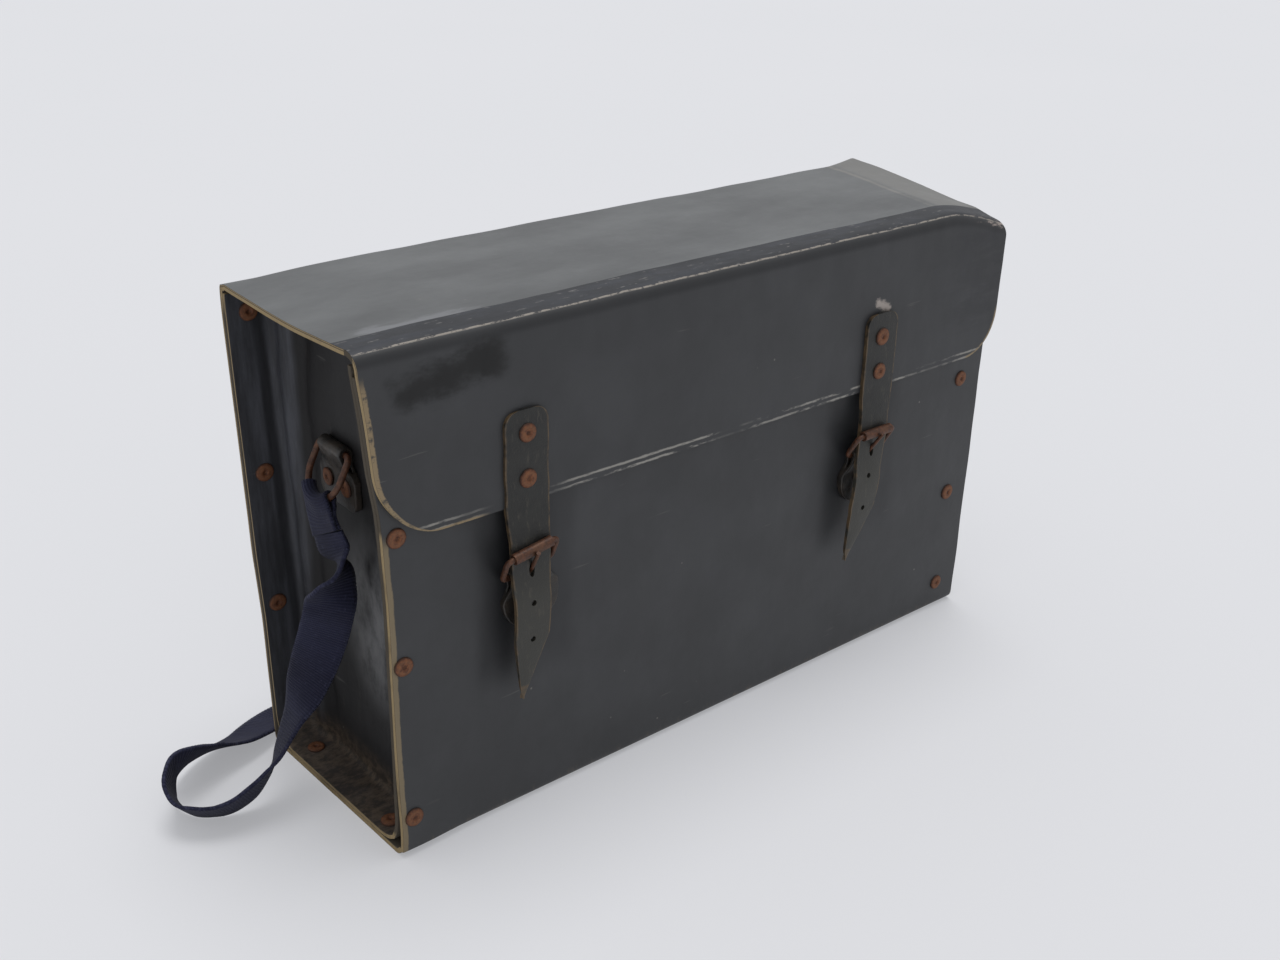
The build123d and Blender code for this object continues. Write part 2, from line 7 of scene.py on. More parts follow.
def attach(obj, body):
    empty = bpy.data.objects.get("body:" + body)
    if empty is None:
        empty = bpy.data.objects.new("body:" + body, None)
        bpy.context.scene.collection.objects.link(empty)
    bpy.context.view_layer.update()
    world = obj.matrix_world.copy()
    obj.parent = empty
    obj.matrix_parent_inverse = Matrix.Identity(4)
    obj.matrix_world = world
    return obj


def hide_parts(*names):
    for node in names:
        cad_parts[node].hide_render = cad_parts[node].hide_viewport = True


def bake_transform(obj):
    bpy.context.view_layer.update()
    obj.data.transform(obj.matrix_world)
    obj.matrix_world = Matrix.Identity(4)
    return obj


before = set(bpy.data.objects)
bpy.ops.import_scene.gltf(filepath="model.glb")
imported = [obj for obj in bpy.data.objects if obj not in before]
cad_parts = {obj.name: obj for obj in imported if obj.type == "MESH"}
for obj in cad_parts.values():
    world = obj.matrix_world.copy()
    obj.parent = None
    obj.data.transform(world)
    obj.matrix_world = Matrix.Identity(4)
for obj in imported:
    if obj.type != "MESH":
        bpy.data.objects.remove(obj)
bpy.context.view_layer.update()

# Sizes in millimetres, as in the part
MM = 0.001
half_length = 224.0
lid_right = 229.0
front_face = -67.0
back_face = 67.0
board = 3.0
panel_top = 270.0
case_top = 282.0
base_bend = 6.0
lid_hinge = (61.0, 276.0)
flap_hinge = (-62.3, 274.0)
lid_bend = 6.0
flap_bend = 8.0
lid_near = -58.3
lid_seam = -48.0
flap_face = -70.3
flap_bottom = 185.0
flap_corners = {"left": 33.0, "right": 28.0}
gusset_board = 2.5
gusset_floor = 5.5
gusset_half = 61.5
gusset_top = 275.0
recess_web = 199.0
gusset_bend = 4.0
strap_leather = 2.4
strap_bend_height = 186.0
strap_tail = 109.5
ring_bar = {"left": (-203.05, 6.0, 204.0), "right": (203.05, 6.0, 204.0)}
ring_bow = 15.25
ring_bow_middle = 12.25
ring_swing = math.radians(27.0)
ring_wire = 1.75
webbing_width = 26.0
webbing_thick = 1.8
sewn_length = 16.0
both_sides = ("left", "right")

# Fineness and wear of the visible meshes
board_columns = 115
board_wear = 0.35
rivet_radius = 5.2
rivet_rise = 1.4
rivet_spread = 0.04
rivet_wear = 0.12
dimple_depth = 0.6
tab_grain = 0.45
webbing_step = 0.85

# The photograph's camera
focal_pixels = 1429.95
photo_width = 1280
camera_place = (-0.50732, -0.595995, 0.50070)
camera_azimuth = math.radians(-40.03)
camera_elevation = math.radians(25.32)
camera_roll = math.radians(-1.274)


def stand(name, data):
    """Stands a new object that holds the data in the scene."""
    made = bpy.data.objects.new(name, data)
    bpy.context.scene.collection.objects.link(made)
    return made


def place_camera():
    """Stands the camera where the photograph was taken."""
    a, e, r = camera_azimuth, camera_elevation, camera_roll
    back = Vector((math.sin(a) * math.cos(e), -math.cos(a) * math.cos(e), math.sin(e)))
    right = Vector((0, 0, 1)).cross(back).normalized()
    up = back.cross(right)
    across = right * math.cos(r) - up * math.sin(r)
    rise = right * math.sin(r) + up * math.cos(r)
    data = bpy.data.cameras.new("view")
    data.sensor_width = 36.0
    data.lens = focal_pixels * data.sensor_width / photo_width
    data.clip_end = 100.0
    camera = stand("view", data)
    camera.matrix_world = Matrix((across, rise, back)).transposed().to_4x4()
    camera.location = camera_place
    bpy.context.scene.camera = camera


place_camera()


def tone(red, green, blue):
    """A colour from its 0 to 255 tones."""
    def linear(value):
        share = value / 255
        return share / 12.92 if share <= 0.04045 else ((share + 0.055) / 1.055) ** 2.4

    return (linear(red), linear(green), linear(blue), 1.0)


class Amount:
    """A value in a finish, with the arithmetic that joins masks."""

    def __init__(self, finish, socket):
        self.finish = finish
        self.socket = socket

    def join(self, other, operation, swapped=False):
        first, second = (other, self) if swapped else (self, other)
        if self.socket.type == "VECTOR":
            first, second = (
                (v, v, v) if isinstance(v, (int, float)) else v for v in (first, second)
            )
            return self.finish.node(
                "ShaderNodeVectorMath", {"operation": operation}, {0: first, 1: second}
            )
        return self.finish.node("ShaderNodeMath", {"operation": operation}, {0: first, 1: second})

    def __add__(self, other):
        return self.join(other, "ADD")

    def __radd__(self, other):
        return self.join(other, "ADD", True)

    def __sub__(self, other):
        return self.join(other, "SUBTRACT")

    def __rsub__(self, other):
        return self.join(other, "SUBTRACT", True)

    def __mul__(self, other):
        return self.join(other, "MULTIPLY")

    def __rmul__(self, other):
        return self.join(other, "MULTIPLY", True)

    def least(self, other):
        return self.join(other, "MINIMUM")

    def part(self, axis):
        return self.finish.node("ShaderNodeSeparateXYZ", {}, {0: self}, "XYZ".index(axis))

    def size(self):
        if self.socket.type == "VECTOR":
            return self.finish.node("ShaderNodeVectorMath", {"operation": "LENGTH"}, {0: self}, 1)
        return self.finish.node("ShaderNodeMath", {"operation": "ABSOLUTE"}, {0: self})

    def rise(self, low, high):
        """0 below low and 1 above high, smoothly."""
        sockets = {"Value": self, "From Min": low, "From Max": high}
        return self.finish.node("ShaderNodeMapRange", {"interpolation_type": "SMOOTHSTEP"}, sockets)

    def fall(self, low, high):
        """1 below low and 0 above high, smoothly."""
        sockets = {"Value": self, "From Min": low, "From Max": high, "To Min": 1.0, "To Max": 0.0}
        return self.finish.node("ShaderNodeMapRange", {"interpolation_type": "SMOOTHSTEP"}, sockets)


class Finish:
    """A material made from nodes, with lengths in millimetres."""

    def __init__(self, name, **surface):
        self.material = bpy.data.materials.new(name)
        self.material.use_nodes = True
        self.tree = self.material.node_tree
        self.surface = self.tree.nodes["Principled BSDF"]
        self.colour = None
        for key, value in surface.items():
            self.surface.inputs[key.replace("_", " ")].default_value = value

    def node(self, kind, settings=None, sockets=None, out=0):
        """Any node: its settings come first, then its sockets' values or links."""
        made = self.tree.nodes.new(kind)
        for key, value in (settings or {}).items():
            setattr(made, key, value)
        for key, value in (sockets or {}).items():
            if isinstance(value, Amount):
                self.tree.links.new(value.socket, made.inputs[key])
            else:
                made.inputs[key].default_value = value
        return Amount(self, made.outputs[out])

    def place(self):
        """The place on the object, in millimetres."""
        spot = self.node("ShaderNodeTexCoord", {}, {}, "Object")
        return spot * 1000.0

    def lay(self):
        """The sheet's own measure: along, across, and through its thickness."""
        return self.node("ShaderNodeAttribute", {"attribute_name": "lay"}, {}, "Vector")

    def grain(self, at, size, detail=3.0, rough=0.55, stretch=(1.0, 1.0, 1.0), shift=0.0):
        """Cloudy noise whose lumps are about size across."""
        scaled = at * tuple(s / size for s in stretch) + (shift, shift * 1.7, shift * 0.6)
        sockets = {"Vector": scaled, "Scale": 1.0, "Detail": detail, "Roughness": rough}
        return self.node("ShaderNodeTexNoise", {}, sockets)

    def cells(self, at, size, feature="F1"):
        """Cells about size across."""
        return self.node(
            "ShaderNodeTexVoronoi", {"feature": feature}, {"Vector": at * (1 / size), "Scale": 1.0}
        )

    def mix(self, mask, under, over):
        """Colour under where the mask is 0, colour over where it is 1."""
        sockets = {0: mask, 6: under, 7: over}
        return self.node("ShaderNodeMix", {"data_type": "RGBA"}, sockets, 2)

    def ground(self, mask, under, over):
        """The first colour, between two tones."""
        self.colour = self.mix(mask, tone(*under), tone(*over))

    def coat(self, mask, over):
        """Lays a tone or a worked-out colour over what is there, where the mask is 1."""
        over = over if isinstance(over, Amount) else tone(*over)
        self.colour = self.mix(mask, self.colour, over)

    def stroke(self, at, start, end):
        """Distance from a straight stroke."""
        start, end = Vector(start), Vector(end)
        run = end - start
        way = tuple(run / run.length_squared)
        off = at - tuple(start)
        dot = self.node("ShaderNodeVectorMath", {"operation": "DOT_PRODUCT"}, {0: off, 1: way}, 1)
        share = self.node("ShaderNodeClamp", {}, {0: dot})
        reach = self.node(
            "ShaderNodeVectorMath", {"operation": "SCALE"}, {0: tuple(run), "Scale": share}
        )
        return (off - reach).size()

    def bump(self, height, depth, under=None):
        """Relief whose full height is depth."""
        sockets = {"Height": height, "Distance": depth * MM, "Strength": 1.0}
        if under is not None:
            sockets["Normal"] = under
        return self.node("ShaderNodeBump", {}, sockets)

    def use(self, **sockets):
        """Joins the colour and worked-out values to the surface and gives the material."""
        for key, value in {"Base_Color": self.colour, **sockets}.items():
            self.tree.links.new(value.socket, self.surface.inputs[key.replace("_", " ")])
        return self.material


worn_tan = (140, 122, 92)


def slate_band(finish, at, band, rub, pale):
    """The slate-blue band along the front fold, with short pale dashes."""
    finish.coat(band, finish.mix(rub.rise(0.4, 0.7), tone(30, 32, 38), tone(44, 47, 55)))
    dashes = finish.grain(at, 3.2, 3.0, 0.7, (0.25, 1.2, 1.0), 33.0).rise(0.62, 0.7)
    finish.coat(band * dashes * 0.7, pale)


def board_cloth(name, base, worn, shine):
    """Black leathercloth: fine grain, faint mottling, hairline scratches and pale dots."""
    finish = Finish(name)
    at = finish.place()
    x, y, z = at.part("X"), at.part("Y"), at.part("Z")
    mottle = finish.grain(at, 60.0, 4.0, 0.6)
    smear = finish.grain(at, 14.0, 5.0, 0.65, (1.0, 1.0, 0.35), 7.0)
    paler = tuple(share * 1.35 for share in tone(*base)[:3]) + (1.0,)
    finish.colour = finish.mix(mottle.rise(0.35, 0.7), tone(*base), paler)
    finish.coat(smear.rise(0.55, 0.8) * 0.35, worn)
    scratch = finish.grain(at, 5.0, 2.0, 0.5, (0.08, 0.08, 1.2), 3.0).rise(0.69, 0.72)
    scratched = finish.grain(at, 40.0, 2.0, 0.5, shift=11.0).rise(0.5, 0.62)
    finish.coat(scratch * scratched * 0.25, (120, 118, 112))
    dots = finish.cells(at, 17.0).fall(0.02, 0.05)
    dotted = finish.grain(at, 33.0, 1.0, 0.5, shift=5.0).rise(0.5, 0.6)
    finish.coat(dots * dotted * 0.5, (140, 136, 128))
    pebble = finish.grain(at, 0.9, 2.0, 0.6)
    rolls = finish.grain(at, 22.0, 3.0, 0.5, shift=2.0)
    rough = smear * 0.22 + mottle * 0.12 + shine
    normal = finish.bump(pebble, 0.035)
    normal = finish.bump(rolls, 0.5, normal)
    return finish, at, (x, y, z), rough, normal


def wrapper_finish():
    """The cloth of the case and the lid, with painted sheen on the lid top, a painted highlight on
    its sagging right end, and painted shadow beside the straps.
    """
    finish, at, (x, y, z), rough, normal = board_cloth(
        "worn black leathercloth, painted sheen and shadow", (50, 51, 53), (66, 67, 70), 0.36
    )
    top = z.rise(266.0, 278.0) * y.rise(-60.5, -58.5)
    dust_and_sheen = finish.grain(at, 45.0, 5.0, 0.6, (0.4, 1.0, 1.0), 21.0)
    rub = finish.grain(at, 9.0, 4.0, 0.7, (0.25, 1.0, 1.0), 4.0)
    # Painted sheen on the lid top: a lighter grey over the whole top, broken up by dust.
    finish.coat(top * (dust_and_sheen.rise(0.25, 0.75) * 0.5 + 0.5), (106, 108, 109))
    crease = finish.stroke(at, (207, 70, 282), (180, -56, 282)) + (rub - 0.5) * 5.0
    # Painted highlight on the lid's right end, beyond the crease where it sags.
    beyond = (x - y * 0.2045).rise(192.0, 200.0)
    finish.coat(top * beyond * 0.5, (132, 130, 126))
    finish.coat(crease.fall(0.3, 3.0) * dust_and_sheen.rise(0.35, 0.6) * 0.6, (138, 134, 128))
    band = top * (y + (rub - 0.5) * 2.0).fall(-49.0, -47.0)
    slate_band(finish, at, band, rub, (120, 119, 118))
    corner = finish.stroke(at, (-205, -46, 280), (-150, -50, 282)) + (rub - 0.5) * 34.0
    finish.coat(corner.fall(0.0, 9.0) * 0.4, (142, 143, 148))
    front = y.fall(-60.0, -58.0) * z.fall(262.0, 268.0)
    blotch_noise = finish.grain(at, 26.0, 4.0, 0.6, (1.0, 1.0, 0.5), 17.0)
    # Painted shadow of the straps mixed with real staining: dark patches on each side of both
    # straps, strongest on their left.
    for middle, strength in ((-154.0, 0.85), (-124.0, 0.45), (97.0, 0.7), (129.0, 0.45)):
        stain = (x - middle + (blotch_noise - 0.5) * 12.0).size().fall(8.0, 21.0)
        stain = stain * z.rise(74.0, 100.0) * front
        finish.coat(stain * strength, (22, 23, 26))
    fray = finish.grain(at, 4.0, 4.0, 0.75, (1.0, 1.0, 0.4), 9.0)
    side = (finish.lay().part("Y") + (fray - 0.5) * 2.0).fall(-221.6, -220.8) * z.fall(180.0, 190.0)
    side = side * y.fall(-60.0, -58.0)
    finish.coat(side * blotch_noise.rise(0.25, 0.4) * 0.9, (130, 115, 88))
    base = z.fall(3.0, 9.0) * fray.rise(0.5, 0.65) * 0.5
    finish.coat(base, (96, 88, 76))
    return finish.use(Roughness=rough, Normal=normal)


def flap_finish():
    """The cloth of the flap, with its slate fold, frayed line and worn lower edge."""
    finish, at, (x, _, z), rough, normal = board_cloth(
        "worn black flap leathercloth", (50, 51, 53), (64, 65, 68), 0.38
    )
    along = finish.lay().part("X") - 10.3
    fray = finish.grain(at, 3.0, 4.0, 0.75, (0.5, 1.0, 1.0), 9.0)
    rub = finish.grain(at, 9.0, 4.0, 0.7, (0.25, 1.0, 1.0), 4.0)
    fold = along + (fray - 0.5) * 1.6
    band = fold.fall(8.0, 8.6)
    slate_band(finish, at, band, rub, (128, 126, 124))
    line = (fold - 8.4).size().fall(0.25, 0.8)
    finish.coat(line * fray.rise(0.38, 0.52) * 0.85, (158, 150, 140))
    shade = (along - 12.5).size().fall(1.0, 5.0)
    finish.coat(shade * 0.7, (27, 28, 31))
    cloudy = finish.grain(at, 15.0, 4.0, 0.65, (0.6, 1.0, 1.0), 27.0)
    smudge = finish.stroke(at, (-206, -70, 257), (-158, -70, 266)) + (cloudy - 0.5) * 22.0
    finish.coat(smudge.fall(3.0, 13.0), (5, 5, 6))
    cracks = finish.grain(at, 4.0, 4.0, 0.7, (0.2, 1.0, 1.0), 24.0).rise(0.48, 0.6)
    worn = x.rise(196.0, 210.0) * (along - 9.0).size().fall(2.5, 4.5) * cracks
    finish.coat(worn * 0.75, (172, 158, 150))
    shadow = x.rise(150.0, 215.0) * z.rise(196.0, 214.0)
    finish.coat(shadow * rub.rise(0.3, 0.6) * 0.5, (32, 33, 38))
    patch = finish.grain(at, 60.0, 3.0, 0.6, shift=15.0).rise(0.3, 0.5)
    for height, seed in ((186.0, 15.0), (189.2, 16.0)):
        broken = finish.grain(at, 9.0, 4.0, 0.7, (0.35, 1.0, 1.0), seed).rise(0.42, 0.55)
        thread = (z - height + (fray - 0.5) * 1.4).size().fall(0.3, 0.95)
        finish.coat(thread * broken * patch * 0.85, (156, 153, 146))
    tan = (z + (fray - 0.5) * 1.5).fall(185.8, 186.8) * x.fall(-172.0, -160.0)
    right = (at - (201.0, flap_face, 213.0)).size().rise(26.0, 27.2)
    right = right * x.rise(201.0, 205.0) * z.fall(211.0, 216.0)
    rim = (finish.lay().part("Y") + (fray - 0.5) * 2.0).fall(-222.0, -221.2) * z.fall(262.0, 272.0)
    finish.coat((right + rim).least(1.0) * fray.rise(0.3, 0.5), worn_tan)
    finish.coat(tan * fray.rise(0.3, 0.5), worn_tan)
    scuff = finish.stroke(at, (114, -70, 239), (122, -70, 235)) + (fray - 0.5) * 7.0
    finish.coat(scuff.fall(0.8, 3.6) * 0.85, (176, 166, 158))
    return finish.use(Roughness=rough, Normal=normal)


def gusset_finish():
    """Duller, browner cloth with long streaks of rubbed wear and painted sheen, a paler patch low
    on the web of wear and painted sheen, painted highlights on the flanges, painted shade in the
    back crease, and a scuffed base.
    """
    finish, at, (x, _, z), rough, normal = board_cloth(
        "end leathercloth, rubbed, with painted sheen and shade", (25, 24, 25), (40, 38, 37), 0.42
    )
    finish.surface.inputs["Specular IOR Level"].default_value = 0.3
    streak = finish.grain(at, 10.0, 5.0, 0.7, (1.0, 1.0, 0.12), 31.0)
    rubs = finish.grain(at, 18.0, 5.0, 0.7, (1.0, 1.0, 0.5), 6.0)
    # A paler patch low on the web: rubbed wear with painted sheen.
    spot = (at - (-199.0, -20.0, 110.0)) * (0.0, 1 / 42, 1 / 62)
    low = (spot.size() + (rubs - 0.5) * 0.8).fall(0.5, 1.05)
    rubbed = finish.mix(rubs.rise(0.4, 0.7), tone(78, 78, 79), tone(100, 100, 101))
    finish.coat(low * rubs.rise(0.25, 0.55), rubbed)
    # Long vertical streaks painted lighter: rubbed wear with painted sheen.
    finish.coat(streak.rise(0.56, 0.72) * 0.35, (66, 63, 58))
    # Painted highlight streaks on the flanges.
    flange = x.size().rise(200.5, 204.0)
    finish.coat(flange * (streak.rise(0.3, 0.7) * 0.5 + 0.25), (90, 92, 99))
    # Painted shade in the crease where the back flange meets the web.
    crease = finish.stroke(at, (-213, 61, 262), (-206, 61, 65)).fall(1.5, 4.5)
    finish.coat(crease * 0.6, (18, 18, 20))
    brown = z.fall(8.0, 26.0)
    scuff = finish.grain(at, 5.0, 5.0, 0.75, (0.6, 1, 1), 19.0).rise(0.4, 0.65)
    finish.coat(brown * 0.75, finish.mix(scuff, tone(60, 52, 45), tone(104, 90, 75)))
    return finish.use(Roughness=rough - low * 0.1, Normal=normal)


def cut_edge_finish():
    """The bare cut edge of the board: tan core between two dark faces."""
    finish = Finish("tan cut edge")
    at = finish.place()
    through = finish.lay().part("Z")
    fibre = finish.grain(at, 1.2, 3.0, 0.6)
    patch = finish.grain(at, 24.0, 4.0, 0.6)
    finish.ground(fibre, (134, 115, 82), (166, 145, 106))
    finish.coat(patch.rise(0.5, 0.75) * 0.55, (88, 74, 54))
    finish.coat(through.fall(0.02, 0.12), (46, 43, 40))
    y, z = at.part("Y"), at.part("Z")
    # Painted shade on the edges that lie behind the flap and just inside the front panel; the rear
    # and top-line masks darken the back edges and a thin line along the top edges.
    behind = (y + 64.0).size().fall(2.9, 3.2) * z.rise(186.0, 192.0)
    inner = (y + 62.0).size().fall(1.9, 2.2) * z.rise(8.0, 14.0)
    rear = (y - 66.0).size().fall(5.5, 6.0) * z.fall(262.0, 272.0) * through.rise(0.3, 0.5)
    top_line = z.rise(262.0, 272.0) * (through - 0.3).size().fall(0.03, 0.12)
    dark = (behind + inner + rear + top_line).least(1.0)
    finish.coat(dark * 0.85, (34, 32, 31))
    rough = fibre * 0.15 + 0.75
    return finish.use(Roughness=rough, Normal=finish.bump(fibre, 0.15))


def lining_finish():
    """The plain inside of the board."""
    finish = Finish("brown-grey lining")
    at = finish.place()
    weave = finish.grain(at, 0.8, 2.0, 0.6)
    stain = finish.grain(at, 50.0, 4.0, 0.6)
    finish.ground(stain, (74, 68, 60), (104, 96, 84))
    return finish.use(Roughness=weave * 0.2 + 0.75, Normal=finish.bump(weave, 0.08))


def strap_finish():
    """Waxed strap leather: olive-black, cracked grain, brown along the edges."""
    finish = Finish("dark olive strap leather")
    at = finish.place()
    lay = finish.lay()
    cracks = finish.cells(at, 1.6, "DISTANCE_TO_EDGE")
    mottle = finish.grain(at, 9.0, 5.0, 0.65)
    streak = finish.grain(at, 2.2, 4.0, 0.7, (1.0, 1.0, 0.2), 6.0)
    finish.ground(mottle.rise(0.3, 0.7), (24, 24, 22), (38, 38, 35))
    finish.coat(at.part("Z").fall(130.0, 165.0) * 0.7, (60, 59, 53))
    finish.coat(streak.rise(0.54, 0.72) * 0.5, (78, 74, 64))
    side = (lay.part("Y") + (streak - 0.5) * 0.12).rise(0.9, 0.98)
    finish.coat(side * mottle.rise(0.35, 0.6) * 0.75, (104, 84, 58))
    rough = mottle * 0.2 + 0.42
    normal = finish.bump(cracks.rise(0.0, 0.25), 0.05)
    normal = finish.bump(mottle, 0.25, normal)
    return finish.use(Roughness=rough, Normal=normal)


def tab_finish():
    """Folded leather: dark and glossy, with brown worn ridges."""
    finish = Finish("dark folded tab leather")
    at = finish.place()
    mottle = finish.grain(at, 7.0, 5.0, 0.65)
    cracks = finish.cells(at, 1.3, "DISTANCE_TO_EDGE")
    finish.ground(mottle.rise(0.35, 0.7), (32, 30, 28), (56, 48, 40))
    rough = mottle * 0.25 + 0.3
    normal = finish.bump(cracks.rise(0.0, 0.25), 0.04)
    normal = finish.bump(mottle, 0.4, normal)
    return finish.use(Roughness=rough, Normal=normal)


def rivet_finish():
    """Rusted rivet heads, darker in the dimple and round the rim."""
    finish = Finish("rusted rivet", Metallic=0.25)
    at = finish.place()
    out = finish.node("ShaderNodeAttribute", {"attribute_name": "from_middle"}, {}, "Fac")
    rust = finish.grain(at, 1.6, 5.0, 0.7)
    finish.ground(rust.rise(0.3, 0.7), (84, 48, 32), (130, 82, 52))
    ring = (out - 0.62 + (rust - 0.5) * 0.5).size().fall(0.02, 0.22)
    finish.coat(ring * 0.3, (134, 98, 70))
    finish.coat((out + (rust - 0.5) * 0.2).fall(0.08, 0.32) * 0.7, (46, 30, 25))
    finish.coat(out.rise(0.84, 0.98) * 0.7, (46, 31, 25))
    return finish.use(Roughness=rust * 0.3 + 0.5, Normal=finish.bump(rust, 0.12))


def wire_finish():
    """Steel wire gone brown, with rust and a few bright rubs."""
    finish = Finish("rust-stained wire")
    at = finish.place()
    rust = finish.grain(at, 2.4, 5.0, 0.7)
    broad = finish.grain(at, 8.0, 2.0, 0.5, (1, 1, 1), 4.0)
    finish.ground(rust.rise(0.35, 0.65), (60, 36, 25), (98, 62, 42))
    bright = broad.rise(0.55, 0.7)
    finish.coat(bright * 0.3, (128, 102, 86))
    metal = bright * 0.4 + 0.2
    rough = rust * 0.3 + 0.34
    return finish.use(Roughness=rough, Metallic=metal, Normal=finish.bump(rust, 0.1))


def webbing_finish():
    """Navy webbing: ribs across its width, each broken into threads."""
    finish = Finish("navy ribbed webbing", Specular_IOR_Level=0.2, Sheen_Weight=0.05)
    lay = finish.lay()
    along, across = lay.part("X"), lay.part("Y")
    wave = finish.node("ShaderNodeMath", {"operation": "SINE"}, {0: along * (2 * math.pi / 1.7)})
    twill = finish.node(
        "ShaderNodeMath", {"operation": "SINE"}, {0: across * (2 * math.pi / 1.1) + along * 1.9}
    )
    fuzz = finish.grain(lay, 1.4, 4.0, 0.7)
    fade = finish.grain(lay, 42.0, 4.0, 0.6, (1.0, 0.5, 1.0))
    finish.ground(fade.rise(0.3, 0.7), (29, 30, 48), (43, 45, 67))
    gaps = finish.mix(fuzz * 0.5, finish.colour, tone(12, 12, 24))
    finish.colour = finish.mix(wave.rise(-0.9, 0.3), gaps, finish.colour)
    pick = finish.grain(lay, 2.6, 3.0, 0.7, (0.6, 1.6, 1.0), 8.0).rise(0.6, 0.72)
    finish.coat(pick * 0.35, (72, 74, 98))
    edge = across.size().rise(11.6, 12.9)
    finish.coat(edge * fuzz.rise(0.4, 0.65) * 0.4, (78, 80, 104))
    height = wave * 0.4 + twill * 0.15 + fuzz * 0.5
    return finish.use(Roughness=fuzz * 0.1 + 0.84, Normal=finish.bump(height, 0.3))


cloth = wrapper_finish()
flap_cloth = flap_finish()
end_cloth = gusset_finish()
cut_edge = cut_edge_finish()
lining = lining_finish()
strap_cloth = strap_finish()
tab_cloth = tab_finish()
rivet_metal = rivet_finish()
wire_metal = wire_finish()
webbing_cloth = webbing_finish()


def bumps(a, b, size, seed):
    """Soft unevenness between about -1 and 1."""
    return 1.6 * noise.noise(Vector((a / size + seed * 3.1, b / size - seed * 1.7, seed * 2.3)))


def ease(value, low, high):
    """0 below low and 1 above high, smoothly."""
    share = min(max((value - low) / (high - low), 0.0), 1.0)
    return share * share * (3 - 2 * share)


def mesh_object(name, points, faces, finishes, kinds=None, lay=None):
    """A piece from points in millimetres."""
    mesh = bpy.data.meshes.new(name)
    mesh.from_pydata([Vector(p) * MM for p in points], [], faces)
    for finish in finishes:
        mesh.materials.append(finish)
    if kinds:
        mesh.polygons.foreach_set("material_index", kinds)
    mesh.polygons.foreach_set("use_smooth", [True] * len(mesh.polygons))
    if lay:
        attribute = mesh.attributes.new("lay", "FLOAT_VECTOR", "POINT")
        attribute.data.foreach_set("vector", [c for place in lay for c in place])
    mesh.validate()
    mesh.update()
    return stand(name, mesh)


def plain_mesh(thing):
    """A new mesh of an object as its modifiers or its curve make it."""
    bpy.context.view_layer.update()
    evaluated = thing.evaluated_get(bpy.context.evaluated_depsgraph_get())
    return bpy.data.meshes.new_from_object(evaluated)


def settle(piece):
    """Puts a piece's modifiers into its mesh."""
    mesh, old = plain_mesh(piece), piece.data
    piece.modifiers.clear()
    piece.data = mesh
    name = old.name
    bpy.data.meshes.remove(old)
    mesh.name = name


def soften_edges(piece, width):
    """Takes the sharpness off cut edges."""
    bevel = piece.modifiers.new("soft edge", "BEVEL")
    bevel.width = width * MM
    bevel.segments = 2
    bevel.limit_method = "ANGLE"
    bevel.angle_limit = math.radians(50)
    bevel.harden_normals = True
    settle(piece)


def thick_sheet(name, points, faces, thickness, finishes, lay):
    """A sheet with thickness: the points are its face, and its back lies behind them."""
    flat = bpy.data.meshes.new("flat")
    flat.from_pydata([Vector(p) for p in points], [], faces)
    normals = [v.normal.copy() for v in flat.vertices]
    bpy.data.meshes.remove(flat)
    count = len(points)
    backs = [Vector(p) - n * thickness for p, n in zip(points, normals)]
    edges = {}
    for face in faces:
        for a, b in zip(face, face[1:] + face[:1]):
            edges[(a, b)] = edges.get((a, b), 0) + 1
    rim = [(a, b) for (a, b) in edges if (b, a) not in edges]
    every = list(faces) + [tuple(count + i for i in reversed(f)) for f in faces]
    kinds = [0] * len(faces) + [min(2, len(finishes) - 1)] * len(faces)
    for a, b in rim:
        every.append((b, a, count + a, count + b))
        kinds.append(min(1, len(finishes) - 1))
    through = [(u, v, 0.0) for u, v in lay] + [(u, v, 1.0) for u, v in lay]
    return mesh_object(name, list(points) + backs, every, finishes, kinds, through)


def grid_faces(rows, columns):
    """Faces of a grid of points, row by row."""
    faces = []
    for i in range(rows - 1):
        for j in range(columns - 1):
            a = i * columns + j
            faces.append((a, a + columns, a + columns + 1, a + 1))
    return faces


def facing(faces, points, sample, way):
    """The faces, all turned round if the sample one looks against the way."""
    a, b, c = (Vector(points[k]) for k in faces[sample][:3])
    if (b - a).cross(c - a).dot(Vector(way)) < 0:
        return [tuple(reversed(face)) for face in faces]
    return faces


def straight(start, end, step, normal):
    """Stations along a straight of a section in Y and Z."""
    start, end = Vector(start), Vector(end)
    count = max(1, round((end - start).length / step))
    return [(*(start.lerp(end, i / count)), *normal) for i in range(count)]


def turn(centre, radius, start, end, steps):
    """Stations round a bend of a section in Y and Z, angles in degrees."""
    stations = []
    for i in range(steps):
        angle = math.radians(start + (end - start) * i / steps)
        way = (math.cos(angle), math.sin(angle))
        stations.append((centre[0] + radius * way[0], centre[1] + radius * way[1], *way))
    return stations


def front_section():
    """The section of the front panel and the near half of the base."""
    section = straight((front_face, panel_top), (front_face, base_bend), 4.0, (-1, 0))
    section += turn((base_bend + front_face, base_bend), base_bend, 180, 270, 6)
    section += straight((base_bend + front_face, 0), (0, 0), 6.0, (0, -1))
    return section + [(0, 0, 0, -1)]


def rear_section():
    """The section of the far half of the base, the back and the lid."""
    section = straight((0, 0), (back_face - base_bend, 0), 6.0, (0, -1))
    section += turn((back_face - base_bend, base_bend), base_bend, 270, 360, 6)
    section += straight((back_face, base_bend), (back_face, lid_hinge[1]), 5.0, (1, 0))
    section += turn(lid_hinge, lid_bend, 0, 90, 6)
    section += straight((lid_hinge[0], case_top), (lid_seam, case_top), 3.0, (0, 1))
    return section + [(lid_seam, case_top, 0, 1)]


